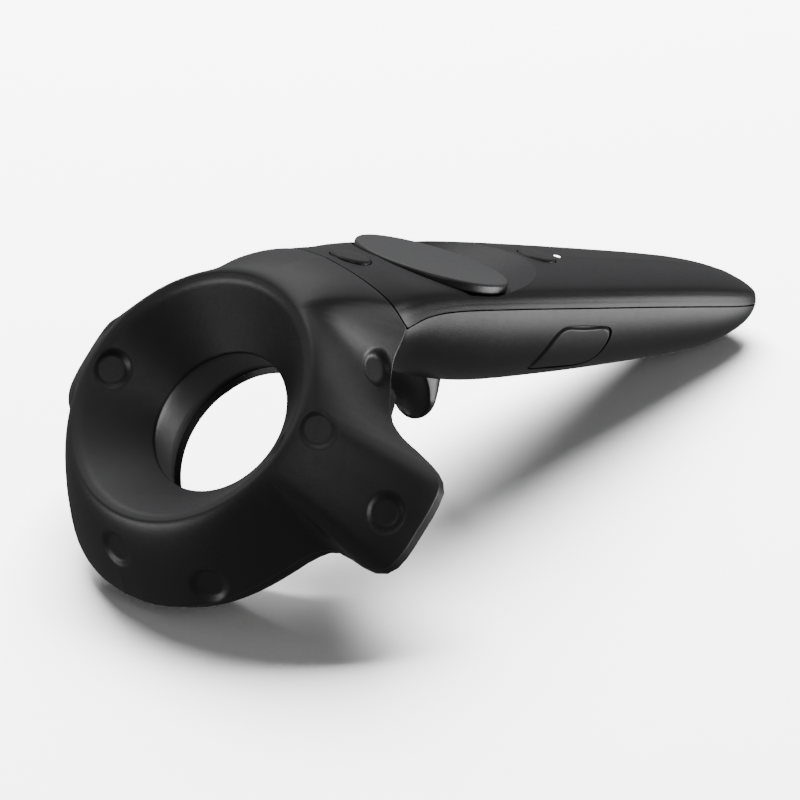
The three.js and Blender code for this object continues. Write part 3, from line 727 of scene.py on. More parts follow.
# ------------------------------------------------------------------ the handle
@dataclass
class HandleForm:
    """The outside of the handle, as a section that changes along its length."""

    half_width: Sequence[tuple[float, float]] = (
        (-46.8, 22.1), (-35.1, 22), (-26.4, 21.2), (-9.8, 21.5), (9.8, 21.5), (39, 20.2),
        (78.1, 17.3), (109.3, 14.7), (126.9, 13.5),
    )
    top: Sequence[tuple[float, float]] = (
        (-46.8, -1.2), (-35.1, -0.3), (-19.5, 0.2), (0, 0.9), (19.5, 1.7), (39, 2), (73.2, 2),
        (92.7, 1.8), (126.9, 0.6),
    )
    seam: Sequence[tuple[float, float]] = (
        (-46.8, -19.5), (-37.1, -15.4), (-27.3, -11.5), (-20.5, -8.5), (-11.7, -6.9), (4.9, -6),
        (29.3, -5.5), (78.1, -5.3), (126.9, -5.7),
    )
    under: Sequence[tuple[float, float]] = (
        (-46.8, -21.5), (-35.1, -23), (-26.4, -24.6), (-9.8, -28.5), (11.7, -30.3), (39, -28.6),
        (69.3, -25.6), (104.4, -21.1), (126.9, -18),
    )
    shoulder: Profile = (
        (1, 0), (0.978, 0.2), (0.938, 0.43), (0.868, 0.635), (0.71, 0.79), (0.42, 0.925), (0, 1),
    )
    under_power: float = 2.3
    butt: float = 122.2
    side_end: tuple[float, float] = (20.5, 0.15)
    top_end: tuple[float, float] = (24, 0.2)
    under_end: tuple[float, float] = (30, 0.26)
    seam_normal: tuple[float, float] = (0.68, 0.733)
    seam_offset: float = -27.1

    def __post_init__(self) -> None:
        """Turns the stations into curves."""
        self.w = through(self.half_width)
        self.t = through(self.top)
        self.s = through(self.seam)
        self.u = through(self.under)
        line = respaced(spline(self.shoulder), 400)
        run = np.linspace(0, math.pi / 2, 400)
        self._shoulder = (run, line)

    def closing(self, y: Array, end: tuple[float, float]) -> Array:
        """How much of a size is left at y as the butt closes."""
        length, power = end
        t = np.clip((y - (self.butt - length)) / length, 0, 1)
        rest = 1 - t * t
        return np.where(rest < 1e-6, 0, np.maximum(rest, 1e-6) ** power)

    def section(self, a: Array) -> tuple[Array, Array]:
        """Unit section at angle a.

        Args:
            a: angles round the section, 0 at the right seam.

        Returns:
            The shares of the half-width, and of the height above or below the seam.
        """
        run, line = self._shoulder
        up = np.sin(a) >= 0
        folded = np.where(np.cos(a) >= 0, np.abs(a), math.pi - np.abs(a))
        x_up = np.interp(folded, run, line[:, 0])
        z_up = np.interp(folded, run, line[:, 1])
        c, s = np.abs(np.cos(a)), np.abs(np.sin(a))
        x_low = c ** (2 / self.under_power)
        z_low = s ** (2 / self.under_power)
        sign = np.where(np.cos(a) >= 0, 1, -1)
        return sign * np.where(up, x_up, x_low), np.where(up, z_up, z_low)

    def points(self, y: Array, a: Array, inset: float = 0) -> Array:
        """Points on the skin, or inside it.

        Args:
            y: stations.
            a: angles round the section, from -pi to pi with 0 at the right seam.
            inset: how far the points lie under the skin.

        Returns:
            The points in the handle frame.
        """
        x, z = self.section(a)
        seam = self.s(y)
        w = np.maximum(self.w(y) - inset, 0.2) * self.closing(y, self.side_end)
        up = np.maximum(self.t(y) - seam - inset, 0.2) * self.closing(y, self.top_end)
        down = np.maximum(seam - self.u(y) - inset, 0.2) * self.closing(y, self.under_end)
        high = seam + np.where(np.sin(a) >= 0, up, -down) * z
        return np.stack([w * x, y + 0 * x, high], axis=-1)

    def under_at(self, x: float, y: float) -> float:
        """Height of the underside at x and y."""
        seam, under, wide = (float(curve(np.array(y))) for curve in (self.s, self.u, self.w))
        share = (1 - abs(x / wide) ** self.under_power) ** (1 / self.under_power)
        return seam - (seam - under) * share

    def neck_y(self, a: Array, clearance: float = 0, inset: float = 0) -> Array:
        """The station at which the skin meets the neck seam.

        Args:
            a: angles round the section.
            clearance: how far to stay behind the seam, towards the butt.
            inset: how far under the skin to look.

        Returns:
            The stations.
        """
        y = np.full(np.shape(a), -38.0)
        for _ in range(50):
            z = self.points(y, a, inset)[..., 2]
            meet = (self.seam_offset + clearance - self.seam_normal[1] * z) / self.seam_normal[0]
            y = 0.5 * y + 0.5 * meet
        return y


@dataclass
class Controls:
    """Sizes of what is pressed, in the handle frame."""

    pad_r: float = 20.0
    pad_tilt: float = 2.1
    pad_thick: float = 2.8
    well_r: float = 20.7
    floor: float = -3.0
    ramp_centre: float = 12.3
    ramp_r: float = 21.2
    ramp_top: float = 2.2
    menu: tuple[float, float] = (-30.3, 5.2)
    system: tuple[float, float] = (39.6, 5.0)
    light: tuple[float, float] = (47.6, 0.9)
    gap: float = 0.3


@dataclass
class Handle:
    """The handle's two covers, with their openings, tray and screw bosses."""

    form: HandleForm = field(default_factory=HandleForm)
    controls: Controls = field(default_factory=Controls)
    wall: float = 2.0
    bunching: float = 0.035
    half_gap: float = 0.19
    seam_reach: float = 1.5
    neck_gap: float = 0.16
    grip_gap: float = 0.32
    light_gap: float = 0.15
    front_of_bottom: float = -33.0
    tuck_from: float = -27.6
    tuck_length: float = 5.0
    tuck: float = 0.3
    boss_r: float = 3.2
    screw_hole_r: float = 2.2
    slot_half: float = 8.1
    slot_ends: tuple[float, float] = (-23.4, 17.2)
    port_half: tuple[float, float] = (4.1, 1.8)
    port_z: float = -7.7
    cord_half: tuple[float, float] = (4.5, 3.0)
    cord_y: float = 114.2

    def stations(self, start: Array, count: int) -> Array:
        """Stations from a start to the butt, closer together towards the butt."""
        u = np.linspace(0, 1, count)[:, None]
        spread = 1.28 * u - 0.28 * u * u
        spread = np.where(u > 0.8, 1 - (1 - spread) * (1 - u) / 0.2, spread)
        return start + (self.form.butt - start) * np.minimum(spread, 1)

    def cover(self, name: str, above: bool) -> bpy.types.Object:
        """Makes the plain top or bottom cover as a closed shell."""
        side = 1 if above else -1
        rows, columns = 301, 181
        u = np.linspace(0, 1, columns)
        a = side * math.pi * (u - self.bunching * np.sin(4 * math.pi * u) / math.pi)
        if above:
            start = self.form.neck_y(a, self.neck_gap)
        else:
            start = np.full(columns, self.front_of_bottom)
        y = self.stations(start[None, :], rows)
        a = np.broadcast_to(a, y.shape)
        outer = self.form.points(y, a)
        inner = self.form.points(np.minimum(y, self.form.butt - self.wall - 0.6), a, self.wall)
        rim = side * self.half_gap
        for sheet in (outer, inner):
            near = np.clip(1 - np.abs(sheet[..., 2] - self.form.s(y)) / self.seam_reach, 0, 1)
            sheet[..., 2] += rim * near
        if not above:
            for sheet in (outer, inner):
                under_neck = np.clip((self.tuck_from - sheet[..., 1]) / self.tuck_length, 0, 1)
                sheet[..., 0] *= 1 - self.tuck * under_neck
            outer = outer[:, ::-1]
            inner = inner[:, ::-1]
        return shell(name, outer, inner, 6, HANDLE)

    def core(self, inset: float) -> bpy.types.Object:
        """The handle as one solid, moved in by an inset."""
        rows, around = 90, 144
        y = np.linspace(-42, self.form.butt - 1.5, rows)[:, None]
        a = np.linspace(-math.pi, math.pi, around, endpoint=False)[None, :]
        points = self.form.points(y + 0 * a, a + 0 * y, inset).reshape(-1, 3)
        last = (rows - 1) * around
        faces: list[Face] = [tuple(range(around)), tuple(last + k for k in range(around))]
        for i in range(rows - 1):
            for k in range(around):
                n = (k + 1) % around
                faces.append((i * around + k, i * around + n, (i + 1) * around + n, (i + 1) * around + k))
        obj = mesh_object("core", points, faces, HANDLE)
        tidy(obj)
        return obj

    def tray(self) -> bpy.types.Object:
        """The floor under the trackpad and its scoop, held inside the skin."""
        c = self.controls
        tray = self.ramp(self.wall, c.floor - self.wall)
        carve(tray, self.round_hole(c.well_r + self.wall, 0, c.floor - self.wall, 4), Cut.JOIN)
        carve(tray, self.core(0.5), Cut.KEEP)
        return tray

    def ramp(self, grow: float = 0, low: float | None = None) -> bpy.types.Object:
        """The scoop that runs out behind the trackpad: a leaning cone that widens upwards."""
        c = self.controls
        bottom = c.floor if low is None else low
        top = c.ramp_top + bottom - c.floor
        foot, brink = np.array([0, c.well_r + grow, bottom]), np.array([c.ramp_centre, c.ramp_r + grow, top])
        share = np.linspace(0, 1, 25)[:, None]
        levels = np.vstack([foot + (brink - foot) * share, [(c.ramp_centre, c.ramp_r + grow, 9)]])
        a = np.linspace(0, 2 * math.pi, 240, endpoint=False)
        rings = [np.stack([r * np.cos(a), y + r * np.sin(a), 0 * a + z], 1) for y, r, z in levels]
        n = len(a)
        last = (len(levels) - 1) * n
        faces: list[list[int]] = [list(range(n))[::-1], [last + k for k in range(n)]]
        for level in range(0, last, n):
            for k in range(n):
                after = (k + 1) % n
                faces.append([level + k, level + after, level + n + after, level + n + k])
        obj = mesh_object("ramp", np.vstack(rings), faces, HANDLE)
        tidy(obj)
        return obj

    def round_hole(self, r: float, y: float, low: float, high: float, x: float = 0) -> bpy.types.Object:
        """An upright cylinder in the handle frame.

        Args:
            r: its radius.
            y: the station of its axis.
            low: the height of its lower end.
            high: the height of its upper end.
            x: how far its axis is to the right.

        Returns:
            The cylinder.
        """
        place = HANDLE.copy()
        place[:3, 3] += HANDLE[:3, :3] @ np.array([x, y, 0])
        return turned("hole", [(0, low), (r, low), (r, high), (0, high)], place, 160)

    def build(self, dresser: Dresser) -> None:
        """Makes and dresses both covers."""
        c = self.controls
        top = self.cover("handle_top_shell", True)
        carve(top, self.tray(), Cut.JOIN)
        carve(top, self.round_hole(c.well_r, 0, c.floor, 12))
        carve(top, self.ramp())
        for y, r in (c.menu, c.system):
            carve(top, self.round_hole(r + c.gap, y, -8, 12))
        carve(top, self.round_hole(c.light[1] + self.light_gap, c.light[0], -8, 12))
        bottom = self.cover("handle_bottom_shell", False)
        for side in (-1, 1):
            carve(bottom, GripButton(side, self.form).tool(self.grip_gap))
        carve(bottom, self.slot())
        for x, y in SCREW_PLACES:
            seat = self.form.under_at(x, y) + SCREW_SINK
            boss = self.round_hole(self.boss_r, y, seat - 2.2, seat + 1.5, x)
            carve(boss, self.core(0.8), Cut.KEEP)
            carve(bottom, boss, Cut.JOIN)
            carve(bottom, self.round_hole(self.screw_hole_r, y, -60, seat, x))
        carve(bottom, self.cord_slot())
        for cover in (top, bottom):
            carve(cover, self.port())
        for cover, node in ((top, "handle_top_cover"), (bottom, "handle_bottom_cover")):
            shade(cover, 28)
            dresser.piece(cover, HANDLE_FINISH, CASE, "shell_plastic", node)

    def slot(self) -> bpy.types.Object:
        """The opening that the trigger comes out of."""
        half = self.slot_half
        front, rear = self.slot_ends
        corners = rounded([(-half, -5), (-half, rear), (half, rear), (half, -5)], 3.5, 8)
        outline = np.vstack([corners, [(half, front), (-half, front)]])
        return prism("slot", outline[::-1], 2, -50, -14, HANDLE)

    def port(self) -> bpy.types.Object:
        """The mouth of the charging socket in the butt."""
        return prism("port", soft_box(self.port_z, self.port_half, 1.2), 1, 112, 130, HANDLE)

    def cord_slot(self) -> bpy.types.Object:
        """The pocket round the bar for a wrist cord."""
        return prism("cord_slot", soft_box(self.cord_y, self.cord_half, 1.5), 2, -40, -12.6, HANDLE)


@dataclass
class GripButton:
    """One of the squeeze buttons let into the side of the handle."""

    side: int
    form: HandleForm
    outline: Profile = (
        (28.6, -21.2), (29, -18.2), (29.9, -14.6), (31.2, -12), (33.2, -10.6), (35.4, -10.4),
        (50.6, -10.4), (53.4, -11.2), (54.7, -13.6), (54.7, -18.4), (53.8, -21.2), (50, -22.9),
        (31, -23.7), (28.9, -23),
    )
    centre: tuple[float, float] = (41.2, -16.6)
    proud: float = 0.35
    edge_drop: float = 0.75
    bevel: float = 1.1
    thick: float = 2.3
    gap: float = 0.05

    def grown(self, by: float) -> Array:
        """The outline with rounded corners, grown outwards."""
        loop = np.vstack([self.outline, self.outline[:2]])
        line = respaced(rounded(loop, 2.2, 6)[2:-1], 180)[:-1]
        out = line - np.array(self.centre)
        return line + by * out / np.linalg.norm(out, axis=1)[:, None]

    def tool(self, by: float) -> bpy.types.Object:
        """A prism through the handle's side on the outline."""
        low, high = (8, 40) if self.side > 0 else (-40, -8)
        return prism("grip_tool", self.grown(by), 0, low, high, HANDLE)

    def sheet(self, proud: float, drop: float) -> Array:
        """Rings of points that run in from the button's edge to its middle.

        Args:
            proud: how far the sheet stands off the skin.
            drop: how far it falls back at the edge.

        Returns:
            The points by ring and place on the ring.
        """
        edge = self.grown(-self.gap)
        middle = np.array(self.centre)
        levels = []
        for k in np.linspace(1, 0, 26) ** 0.8:
            p = middle + (edge - middle) * k
            inward = np.linalg.norm(edge - middle, axis=1) * (1 - k)
            bevel = drop * (1 - smoothstep(inward / self.bevel))
            levels.append(np.stack([self.side * (self.side_at(p) + proud - bevel), p[:, 0], p[:, 1]], 1))
        return np.stack(levels)

    def build(self, dresser: Dresser) -> None:
        """Makes the button as a crowned plate that follows the handle's skin."""
        outer = self.sheet(self.proud, self.edge_drop)
        inner = self.sheet(-self.thick, 0.0)
        rings, n = outer.shape[:2]
        points = np.vstack([outer.reshape(-1, 3), inner.reshape(-1, 3)])
        faces: list[Face] = []
        for base, flip in ((0, False), (rings * n, True)):
            for i in range(rings - 1):
                here, there = base + i * n, base + (i + 1) * n
                for j in range(n):
                    after = (j + 1) % n
                    quad = (here + j, here + after, there + after, there + j)
                    faces.append(quad[::-1] if flip else quad)
        for j in range(n):
            faces.append((j, rings * n + j, rings * n + (j + 1) % n, (j + 1) % n))
        name = "grip_button_left_plate" if self.side < 0 else "grip_button_right_plate"
        obj = mesh_object(name, points, faces, HANDLE)
        tidy(obj, 2e-6, 40)
        node = "left_grip_button" if self.side < 0 else "right_grip_button"
        dresser.piece(obj, GRIP_FINISH, node, "button_plastic", node)

    def side_at(self, p: Array) -> Array:
        """Half-width of the handle's skin at (y, z) points below the seam."""
        y, z = p[:, 0], p[:, 1]
        seam, under = self.form.s(y), self.form.u(y)
        depth = np.clip((seam - z) / (seam - under), 0, 0.985)
        return self.form.w(y) * (1 - depth ** self.form.under_power) ** (1 / self.form.under_power)


# -------------------------------------------------------------- the ring's head
@dataclass(frozen=True)
class Dimple:
    """A shallow round dish with a flat floor over a light sensor, at (x, y, depth) in the ring frame."""

    x: float
    y: float
    depth: float
    r: float = 5.0
    floor_r: float = 3.4
    deep: float = 1.1

    def press(self, points: Array, normals: Array) -> Array:
        """Presses the dish into a sheet of points."""
        flat = points.reshape(-1, 3)
        aim = np.array([self.x, self.y, -self.depth])
        k = int(np.argmin(np.linalg.norm(flat - aim, axis=1)))
        centre, axis = flat[k], normals.reshape(-1, 3)[k]
        offset = flat - centre
        along = offset @ axis
        across = np.linalg.norm(offset - along[:, None] * axis, axis=1)
        near = (across < self.r) & (np.abs(along) < 4.5)
        slope = np.clip((self.r - across) / (self.r - self.floor_r), 0, 1)
        share = (0.35 * smoothstep(slope) + 0.65 * slope) * near
        down = np.maximum(along + self.deep, 0) * share
        return (flat - down[:, None] * axis).reshape(points.shape)


FRONT_DIMPLES = [
    *(Dimple(s * 29.7, -2.3, 3.9) for s in (-1, 1)),
    *(Dimple(s * 36.8, 6.8, 3.6) for s in (-1, 1)),
    *(Dimple(s * 52.3, -0.8, 22.8) for s in (-1, 1)),
    *(Dimple(s * 21.6, 31, 28.1, deep=0.7) for s in (-1, 1)),
    *(Dimple(s * 24.1, -36.3, 15.5) for s in (-1, 1)),
    Dimple(0, -40, 7.8),
]
REAR_DIMPLES = [
    *(Dimple(s * 50, 2, 32.6) for s in (-1, 1)),
    *(Dimple(s * 36, -8, 33) for s in (-1, 1)),
    *(Dimple(s * 38, 12, 34) for s in (-1, 1)),
    *(Dimple(s * 28, -27, 30) for s in (-1, 1)),
    *(Dimple(s * 13, -37, 29) for s in (-1, 1)),
    Dimple(0, -30, 34.6),
]


@dataclass
class Head:
    """The tracking ring's covers and the collar in its throat."""

    handle: HandleForm = field(default_factory=HandleForm)
    lip_r: float = 33.4
    throat: tuple[float, float] = (18.9, 14.2)
    crest: tuple[float, float] = (29.3, 35.1)
    hole: tuple[float, float] = (23.8, 32.4)
    wall: float = 2.0
    flatness: float = 4.0
    edge_ease: float = 0.55
    bearings: int = 636
    skirt_edge: Sequence[tuple[float, float, float]] = (
        (21.1, 40, 32), (21.3, 36.5, 32.6), (22.4, 33.2, 33.2), (25.6, 28.3, 33.2), (31, 22.7, 31.6),
        (38.1, 19.2, 30.3), (46.4, 16.9, 29.9), (53.1, 14.8, 30), (56.9, 11.9, 30), (58.1, 6.8, 30),
        (58.3, 0, 30), (58.1, -7.3, 30), (56.8, -11.7, 29.6), (53, -13.9, 28.5), (48.3, -14.2, 26),
        (44.5, -15, 22.8), (41.6, -18.9, 20.5), (38.6, -24.3, 19.7), (33.6, -31.6, 19.5),
        (26.5, -38.7, 19.5), (18, -44, 19.5), (9.1, -46.9, 19.5), (0, -47.8, 19.5),
    )
    neck_under: Sequence[tuple[float, float, float]] = (
        (21.9, 30.5, 34.7), (13.7, 32.2, 36.3), (0, 33, 37.1),
    )
    funnel: Profile = ((18.9, 14.2), (24.6, 8.1), (29.9, 2.3), (31.4, 0.7), (33.4, 0))

    def mirror(self, half: Array) -> Array:
        """Adds the other half of an edge that starts and ends on the middle plane."""
        other = half[1:-1][::-1] * np.array([-1, 1, 1])
        return np.vstack([half, other])

    def front_edge(self) -> Array:
        """The front cover's edge: the neck seam from its top to the side, then the skirt."""
        a = math.pi / 2 * (1 - np.linspace(0, 1, 120)) ** 1.2
        seam = self.handle.points(self.handle.neck_y(a), a)
        seam = seam @ TO_RING[:3, :3].T + TO_RING[:3, 3]
        seam[:, 2] *= -1
        skirt = spline([seam[-1], *self.skirt_edge])
        half = respaced(np.vstack([seam, skirt[1:]]), self.bearings // 2 + 1)
        half[[0, -1], 0] = 0
        return self.mirror(half)

    def rear_edge(self) -> Array:
        """The rear cover's edge: under the neck, then the same skirt."""
        across = spline(list(self.neck_under)[::-1])
        below = spline([self.neck_under[0], *self.skirt_edge[3:]])
        half = respaced(np.vstack([across, below[1:]]), self.bearings // 2 + 1)
        half[[0, -1], 0] = 0
        return self.mirror(half)

    def swept(self, lines: list[Array], edge: Array) -> Array:
        """Places (radius, depth) lines in the half planes at the edge's bearings."""
        stack = np.stack(lines)
        bearing = edge[:, :2] / np.linalg.norm(edge[:, :2], axis=1)[:, None]
        xy = stack[..., :1] * bearing[:, None, :]
        return np.concatenate([xy, -stack[..., 1:]], axis=-1)

    def walls(self, lines: list[Array], edge: Array, inward: int, at_end: bool) -> tuple[Array, Array]:
        """Outer and inner sheets of a cover.

        Args:
            lines: outer (radius, depth) lines, one for each bearing.
            edge: the edge points that give the bearings.
            inward: 1 if the inside lies on the deeper side of a line that runs outwards, or -1.
            at_end: True if the free edge is at the lines' end, False if at their start.

        Returns:
            The outer and inner sheets.
        """
        insides = []
        for line in lines:
            step = np.gradient(line, axis=0)
            step /= np.linalg.norm(step, axis=1)[:, None] + 1e-9
            normal = inward * np.stack([-step[:, 1], step[:, 0]], 1)
            share = np.linspace(0, 1, len(line)) if at_end else np.linspace(1, 0, len(line))
            steep = smoothstep((np.abs(step[-1 if at_end else 0, 1]) - 0.3) / 0.4)
            turn = (smoothstep((share - 0.82) / 0.18) * steep)[:, None]
            aim = normal * (1 - turn) + np.array([-1.25, 0]) * turn
            insides.append(line + self.wall * aim)
        return self.swept(lines, edge), self.swept(insides, edge)

    def pressed(self, sheet: Array, dimples: list[Dimple], flip: float) -> Array:
        """Presses the dimples into an outer sheet that closes round the ring.

        Args:
            sheet: points by bearing and place along the line.
            dimples: the dishes to press.
            flip: 1, or -1 if the sheet's normals point inwards.

        Returns:
            The pressed sheet.
        """
        along = np.gradient(sheet, axis=1)
        wrapped = np.concatenate([sheet[-1:], sheet, sheet[:1]])
        around = (wrapped[2:] - wrapped[:-2]) / 2
        normal = np.cross(around, along) * flip
        normal /= np.linalg.norm(normal, axis=-1)[..., None] + 1e-9
        for dimple in dimples:
            sheet = dimple.press(sheet, normal)
        return sheet

    def front(self) -> bpy.types.Object:
        """The funnel, the lip and the skirt in one cover."""
        edge = self.front_edge()
        inner_part = respaced(rounded(self.funnel, 3.2, 9), 56)
        lines = []
        for x, y, d in edge:
            end = np.array([math.hypot(x, y), d])
            near_neck = smoothstep((y + 3) / 22)
            leave = np.array([9 + self.flatness * near_neck, 0.0])
            out = hermite(np.array([self.lip_r, 0.0]), leave, end, np.array([0.5 * d, 1.15 * d]), 200)
            skirt = respaced(np.vstack([[self.lip_r, 0], out]), 84)
            lines.append(self.eased_edge(np.vstack([inner_part, skirt[1:]])))
        outer, inner = self.walls(lines, edge, 1, True)
        outer = self.pressed(outer, FRONT_DIMPLES, 1)
        return shell("head_front_shell", outer, inner, 6, RING, True)

    def eased_edge(self, line: Array) -> Array:
        """Softens the last corner of a line by turning its end in over a small radius."""
        steps = 6
        ease = self.edge_ease
        back = line[-1] - line[-2]
        back /= np.linalg.norm(back)
        inward = np.array([-back[1], back[0]])
        base = line[-1] - back * ease
        a = np.linspace(0, math.pi / 2, steps)[:, None]
        arc = base + inward * ease + ease * (np.sin(a) * back - np.cos(a) * inward)
        return np.vstack([respaced(np.vstack([line[:-1], base]), len(line) - 1), arc[1:]])

    def rear(self) -> bpy.types.Object:
        """The back of the ring, from the skirt's edge in to the collar's mouth."""
        edge = self.rear_edge()
        crest = np.array(self.crest)
        rim = np.array([(26.9, 34.8), (24.8, 33.8), self.hole])
        lines = []
        for x, y, d in edge:
            start = np.array([math.hypot(x, y) - 0.45, d + 0.14])
            fall = max(0.6 * (start[0] - crest[0]), 0.5)
            leave = np.array([-fall, 0.8 * (crest[1] - start[1])])
            back = hermite(start, leave, crest, np.array([-fall, 0]), 120)
            lines.append(respaced(np.vstack([start, back, rim]), 73))
        outer, inner = self.walls(lines, edge, -1, False)
        outer = self.pressed(outer, REAR_DIMPLES, 1)
        return shell("head_rear_shell", outer, inner, 6, RING, True)

    def collar(self) -> bpy.types.Object:
        """The turned sleeve that lines the throat, with a shallow step under the funnel."""
        r, d = self.throat
        mouth, deep = self.hole
        outline = [
            (r + 0.5, -d - 0.2), (r - 0.2, -d - 0.9), (r + 0.1, -d - 3), (19.6, -20), (21.3, -27),
            (mouth - 0.5, -deep), (mouth + 0.6, -deep + 0.9), (22.9, -26), (21.2, -20),
            (r + 2.2, -d - 3), (r + 1.8, -d - 0.2), (r + 0.5, -d - 0.2),
        ]
        return turned("throat_collar_sleeve", rounded(outline, 0.5, 4), RING, 240)

    def build(self, dresser: Dresser) -> None:
        """Makes and dresses the head."""
        dresser.piece(self.front(), SHELL_FINISH, CASE, "shell_plastic", "head_front_cover")
        dresser.piece(self.rear(), SHELL_FINISH, CASE, "shell_plastic", "head_rear_cover")
        # The collar's darker colour is painted shade for the throat.
        dresser.piece(self.collar(), COLLAR_SHADE_FINISH, CASE, "shell_plastic", "throat_collar")


# -------------------------------------------------------------- pressed pieces
@dataclass
class TopControls:
    """The trackpad, the two round buttons and the status light."""

    form: HandleForm = field(default_factory=HandleForm)
    sizes: Controls = field(default_factory=Controls)

    def station(self, y: float, tilt: float = 0) -> Array:
        """A frame at a station of the handle.

        Args:
            y: the station.
            tilt: how many degrees the frame leans towards the butt.

        Returns:
            Matrix from that frame to the row frame.
        """
        local = np.array(Matrix.Rotation(-math.radians(tilt), 4, "X"))
        local[1, 3] = y
        return HANDLE @ local

    def trackpad(self) -> bpy.types.Object:
        """A slightly dished disc with a crisp edge and a stem."""
        c = self.sizes
        r, t = c.pad_r, c.pad_thick
        stem_r = 3.4
        side = [(r - 0.6, -t), (r, -t + 0.5), (r, -0.5), (r - 0.42, -0.05), (r - 1.4, 0)]
        rim = rounded([(stem_r, -6), (stem_r, -t), *side], 0.3, 4)
        k = np.linspace(1, 0, 24)
        dish = np.stack([(r - 1.4) * k, -0.45 * (1 - k ** 2)], 1)
        profile = np.vstack([[(0, -6)], rim, dish[1:]])
        return turned("trackpad_disc", profile, self.station(0, c.pad_tilt), 240)

    def button(self, name: str, y: float, r: float) -> bpy.types.Object:
        """A round button with a crowned face and a flange that keeps it in.

        Args:
            name: the object's name.
            y: its station.
            r: its radius.

        Returns:
            The button.
        """
        high = float(self.form.t(np.array(y))) + 0.35
        flange = [(0, -3.6), (r + 0.9, -3.6), (r + 0.9, -2.7), (r, -2.7)]
        side = rounded([*flange, (r, high - 0.5), (r - 0.5, high)], 0.25, 4)
        k = np.linspace(1, 0, 16)
        crown = np.stack([(r - 0.5) * k, high + 0.35 * (1 - k ** 2)], 1)
        return turned(name, np.vstack([side, crown[1:]]), self.station(y), 128)

    def light(self) -> bpy.types.Object:
        """The domed end of the light guide."""
        y, r = self.sizes.light
        high = float(self.form.t(np.array(y)))
        k = np.linspace(1, 0, 10)
        dome = np.stack([r * k, high - 0.05 + 0.15 * (1 - k ** 2)], 1)
        return turned("status_light_tip", np.vstack([[(0, -4), (r, -4)], dome]), self.station(y), 48)

    def build(self, dresser: Dresser) -> None:
        """Makes and dresses the controls on the top face."""
        dresser.piece(self.trackpad(), PAD_FINISH, "trackpad_cap", "trackpad_face", "trackpad_cap")
        for name, (y, r) in (("menu_button", self.sizes.menu), ("system_button", self.sizes.system)):
            dresser.piece(self.button(name + "_cap", y, r), BUTTON_FINISH, name, "button_plastic", name)
        dresser.piece(self.light(), Glow("light_pipe"), CASE, "light_pipe", "status_light_pipe")


@dataclass
class Trigger:
    """The finger lever under the neck, with its hub on the axle."""

    front: Sequence[tuple[float, float]] = (
        (-42, 6.6), (-39.5, 5.7), (-36, 4.5), (-32.5, 2.9), (-29.5, 0.5), (-27, -2.3), (-24.4, -5.2),
        (-21.5, -8.4),
    )
    back: Sequence[tuple[float, float]] = (
        (-42, 7.3), (-39, 9.3), (-35, 10.5), (-30, 11), (-26, 11.1), (-21.5, 10.6),
    )
    half: float = 7.3
    tip: float = -42.0
    top: float = -21.5
    hollow: float = 1.1

    def lever(self) -> bpy.types.Object:
        """A blade with a hollow front, a full back and a round lower end."""
        rows, around = 120, 120
        drop = np.linspace(0, 1, rows)
        z = self.tip + (self.top - self.tip) * drop ** 1.25
        below = np.clip((self.tip + self.half - z) / self.half, 0, 1)
        wide = self.half * np.sqrt(np.maximum(1 - below ** 2, 0.0004))
        near, far = through(self.front)(z), through(self.back)(z)
        a = np.linspace(0, 2 * math.pi, around, endpoint=False)
        x = np.sign(np.cos(a)) * np.abs(np.cos(a)) ** 0.75
        at_back = np.sin(a) > 0
        depth = np.abs(np.sin(a)) ** np.where(at_back, 0.95, 0.42)
        loops = []
        for w, front, rear, height, low in zip(wide, near, far, z, below):
            side = front + (rear - front) * (0.18 + 0.2 * low)
            dish = self.hollow * (w / self.half) * (1 - x ** 2) ** 1.5 * ~at_back
            y = np.where(at_back, side + (rear - side) * depth, side + (front - side) * depth + dish)
            loops.append(np.column_stack([w * x, y, np.full(around, height)]))
        faces: list[Face] = [tuple(range(around))]
        for i in range(rows - 1):
            for j in range(around):
                k = (j + 1) % around
                faces.append((i * around + j, i * around + k, (i + 1) * around + k, (i + 1) * around + j))
        faces.append(tuple((rows - 1) * around + j for j in range(around)))
        obj = mesh_object("trigger_lever", np.vstack(loops), faces, HANDLE)
        tidy(obj, 2e-6, 38)
        return obj

    def hub(self) -> bpy.types.Object:
        """The bearing on the axle and the web down to the blade, split for the spring."""
        _, y, z = FRAMES.pivot_in_handle
        place = HANDLE @ np.array(Matrix.Translation((0, y, z)) @ Matrix.Rotation(math.pi / 2, 4, "Y"))
        hub = turned("hub", rounded([(0, -5.9), (4.4, -5.9), (4.4, 5.9), (0, 5.9)], 0.5), place, 96)
        outline = np.array([(-9.5, -24), (-9.5, -17), (7, -18.4), (9.5, -24)])
        web = prism("web", outline, 0, -5.9, 5.9, HANDLE)
        carve(hub, web, Cut.JOIN)
        carve(hub, turned("gap", [(0, -1.9), (4.7, -1.9), (4.7, 1.9), (0, 1.9)], place, 64))
        carve(hub, turned("bore", [(0, -9), (1.5, -9), (1.5, 9), (0, 9)], place, 64))
        return hub

    def build(self, dresser: Dresser) -> None:
        """Makes and dresses the trigger."""
        trigger = self.lever()
        carve(trigger, self.hub(), Cut.JOIN)
        shade(trigger, 38)
        dresser.piece(trigger, TRIGGER_FINISH, "trigger", "trigger_plastic", "trigger")


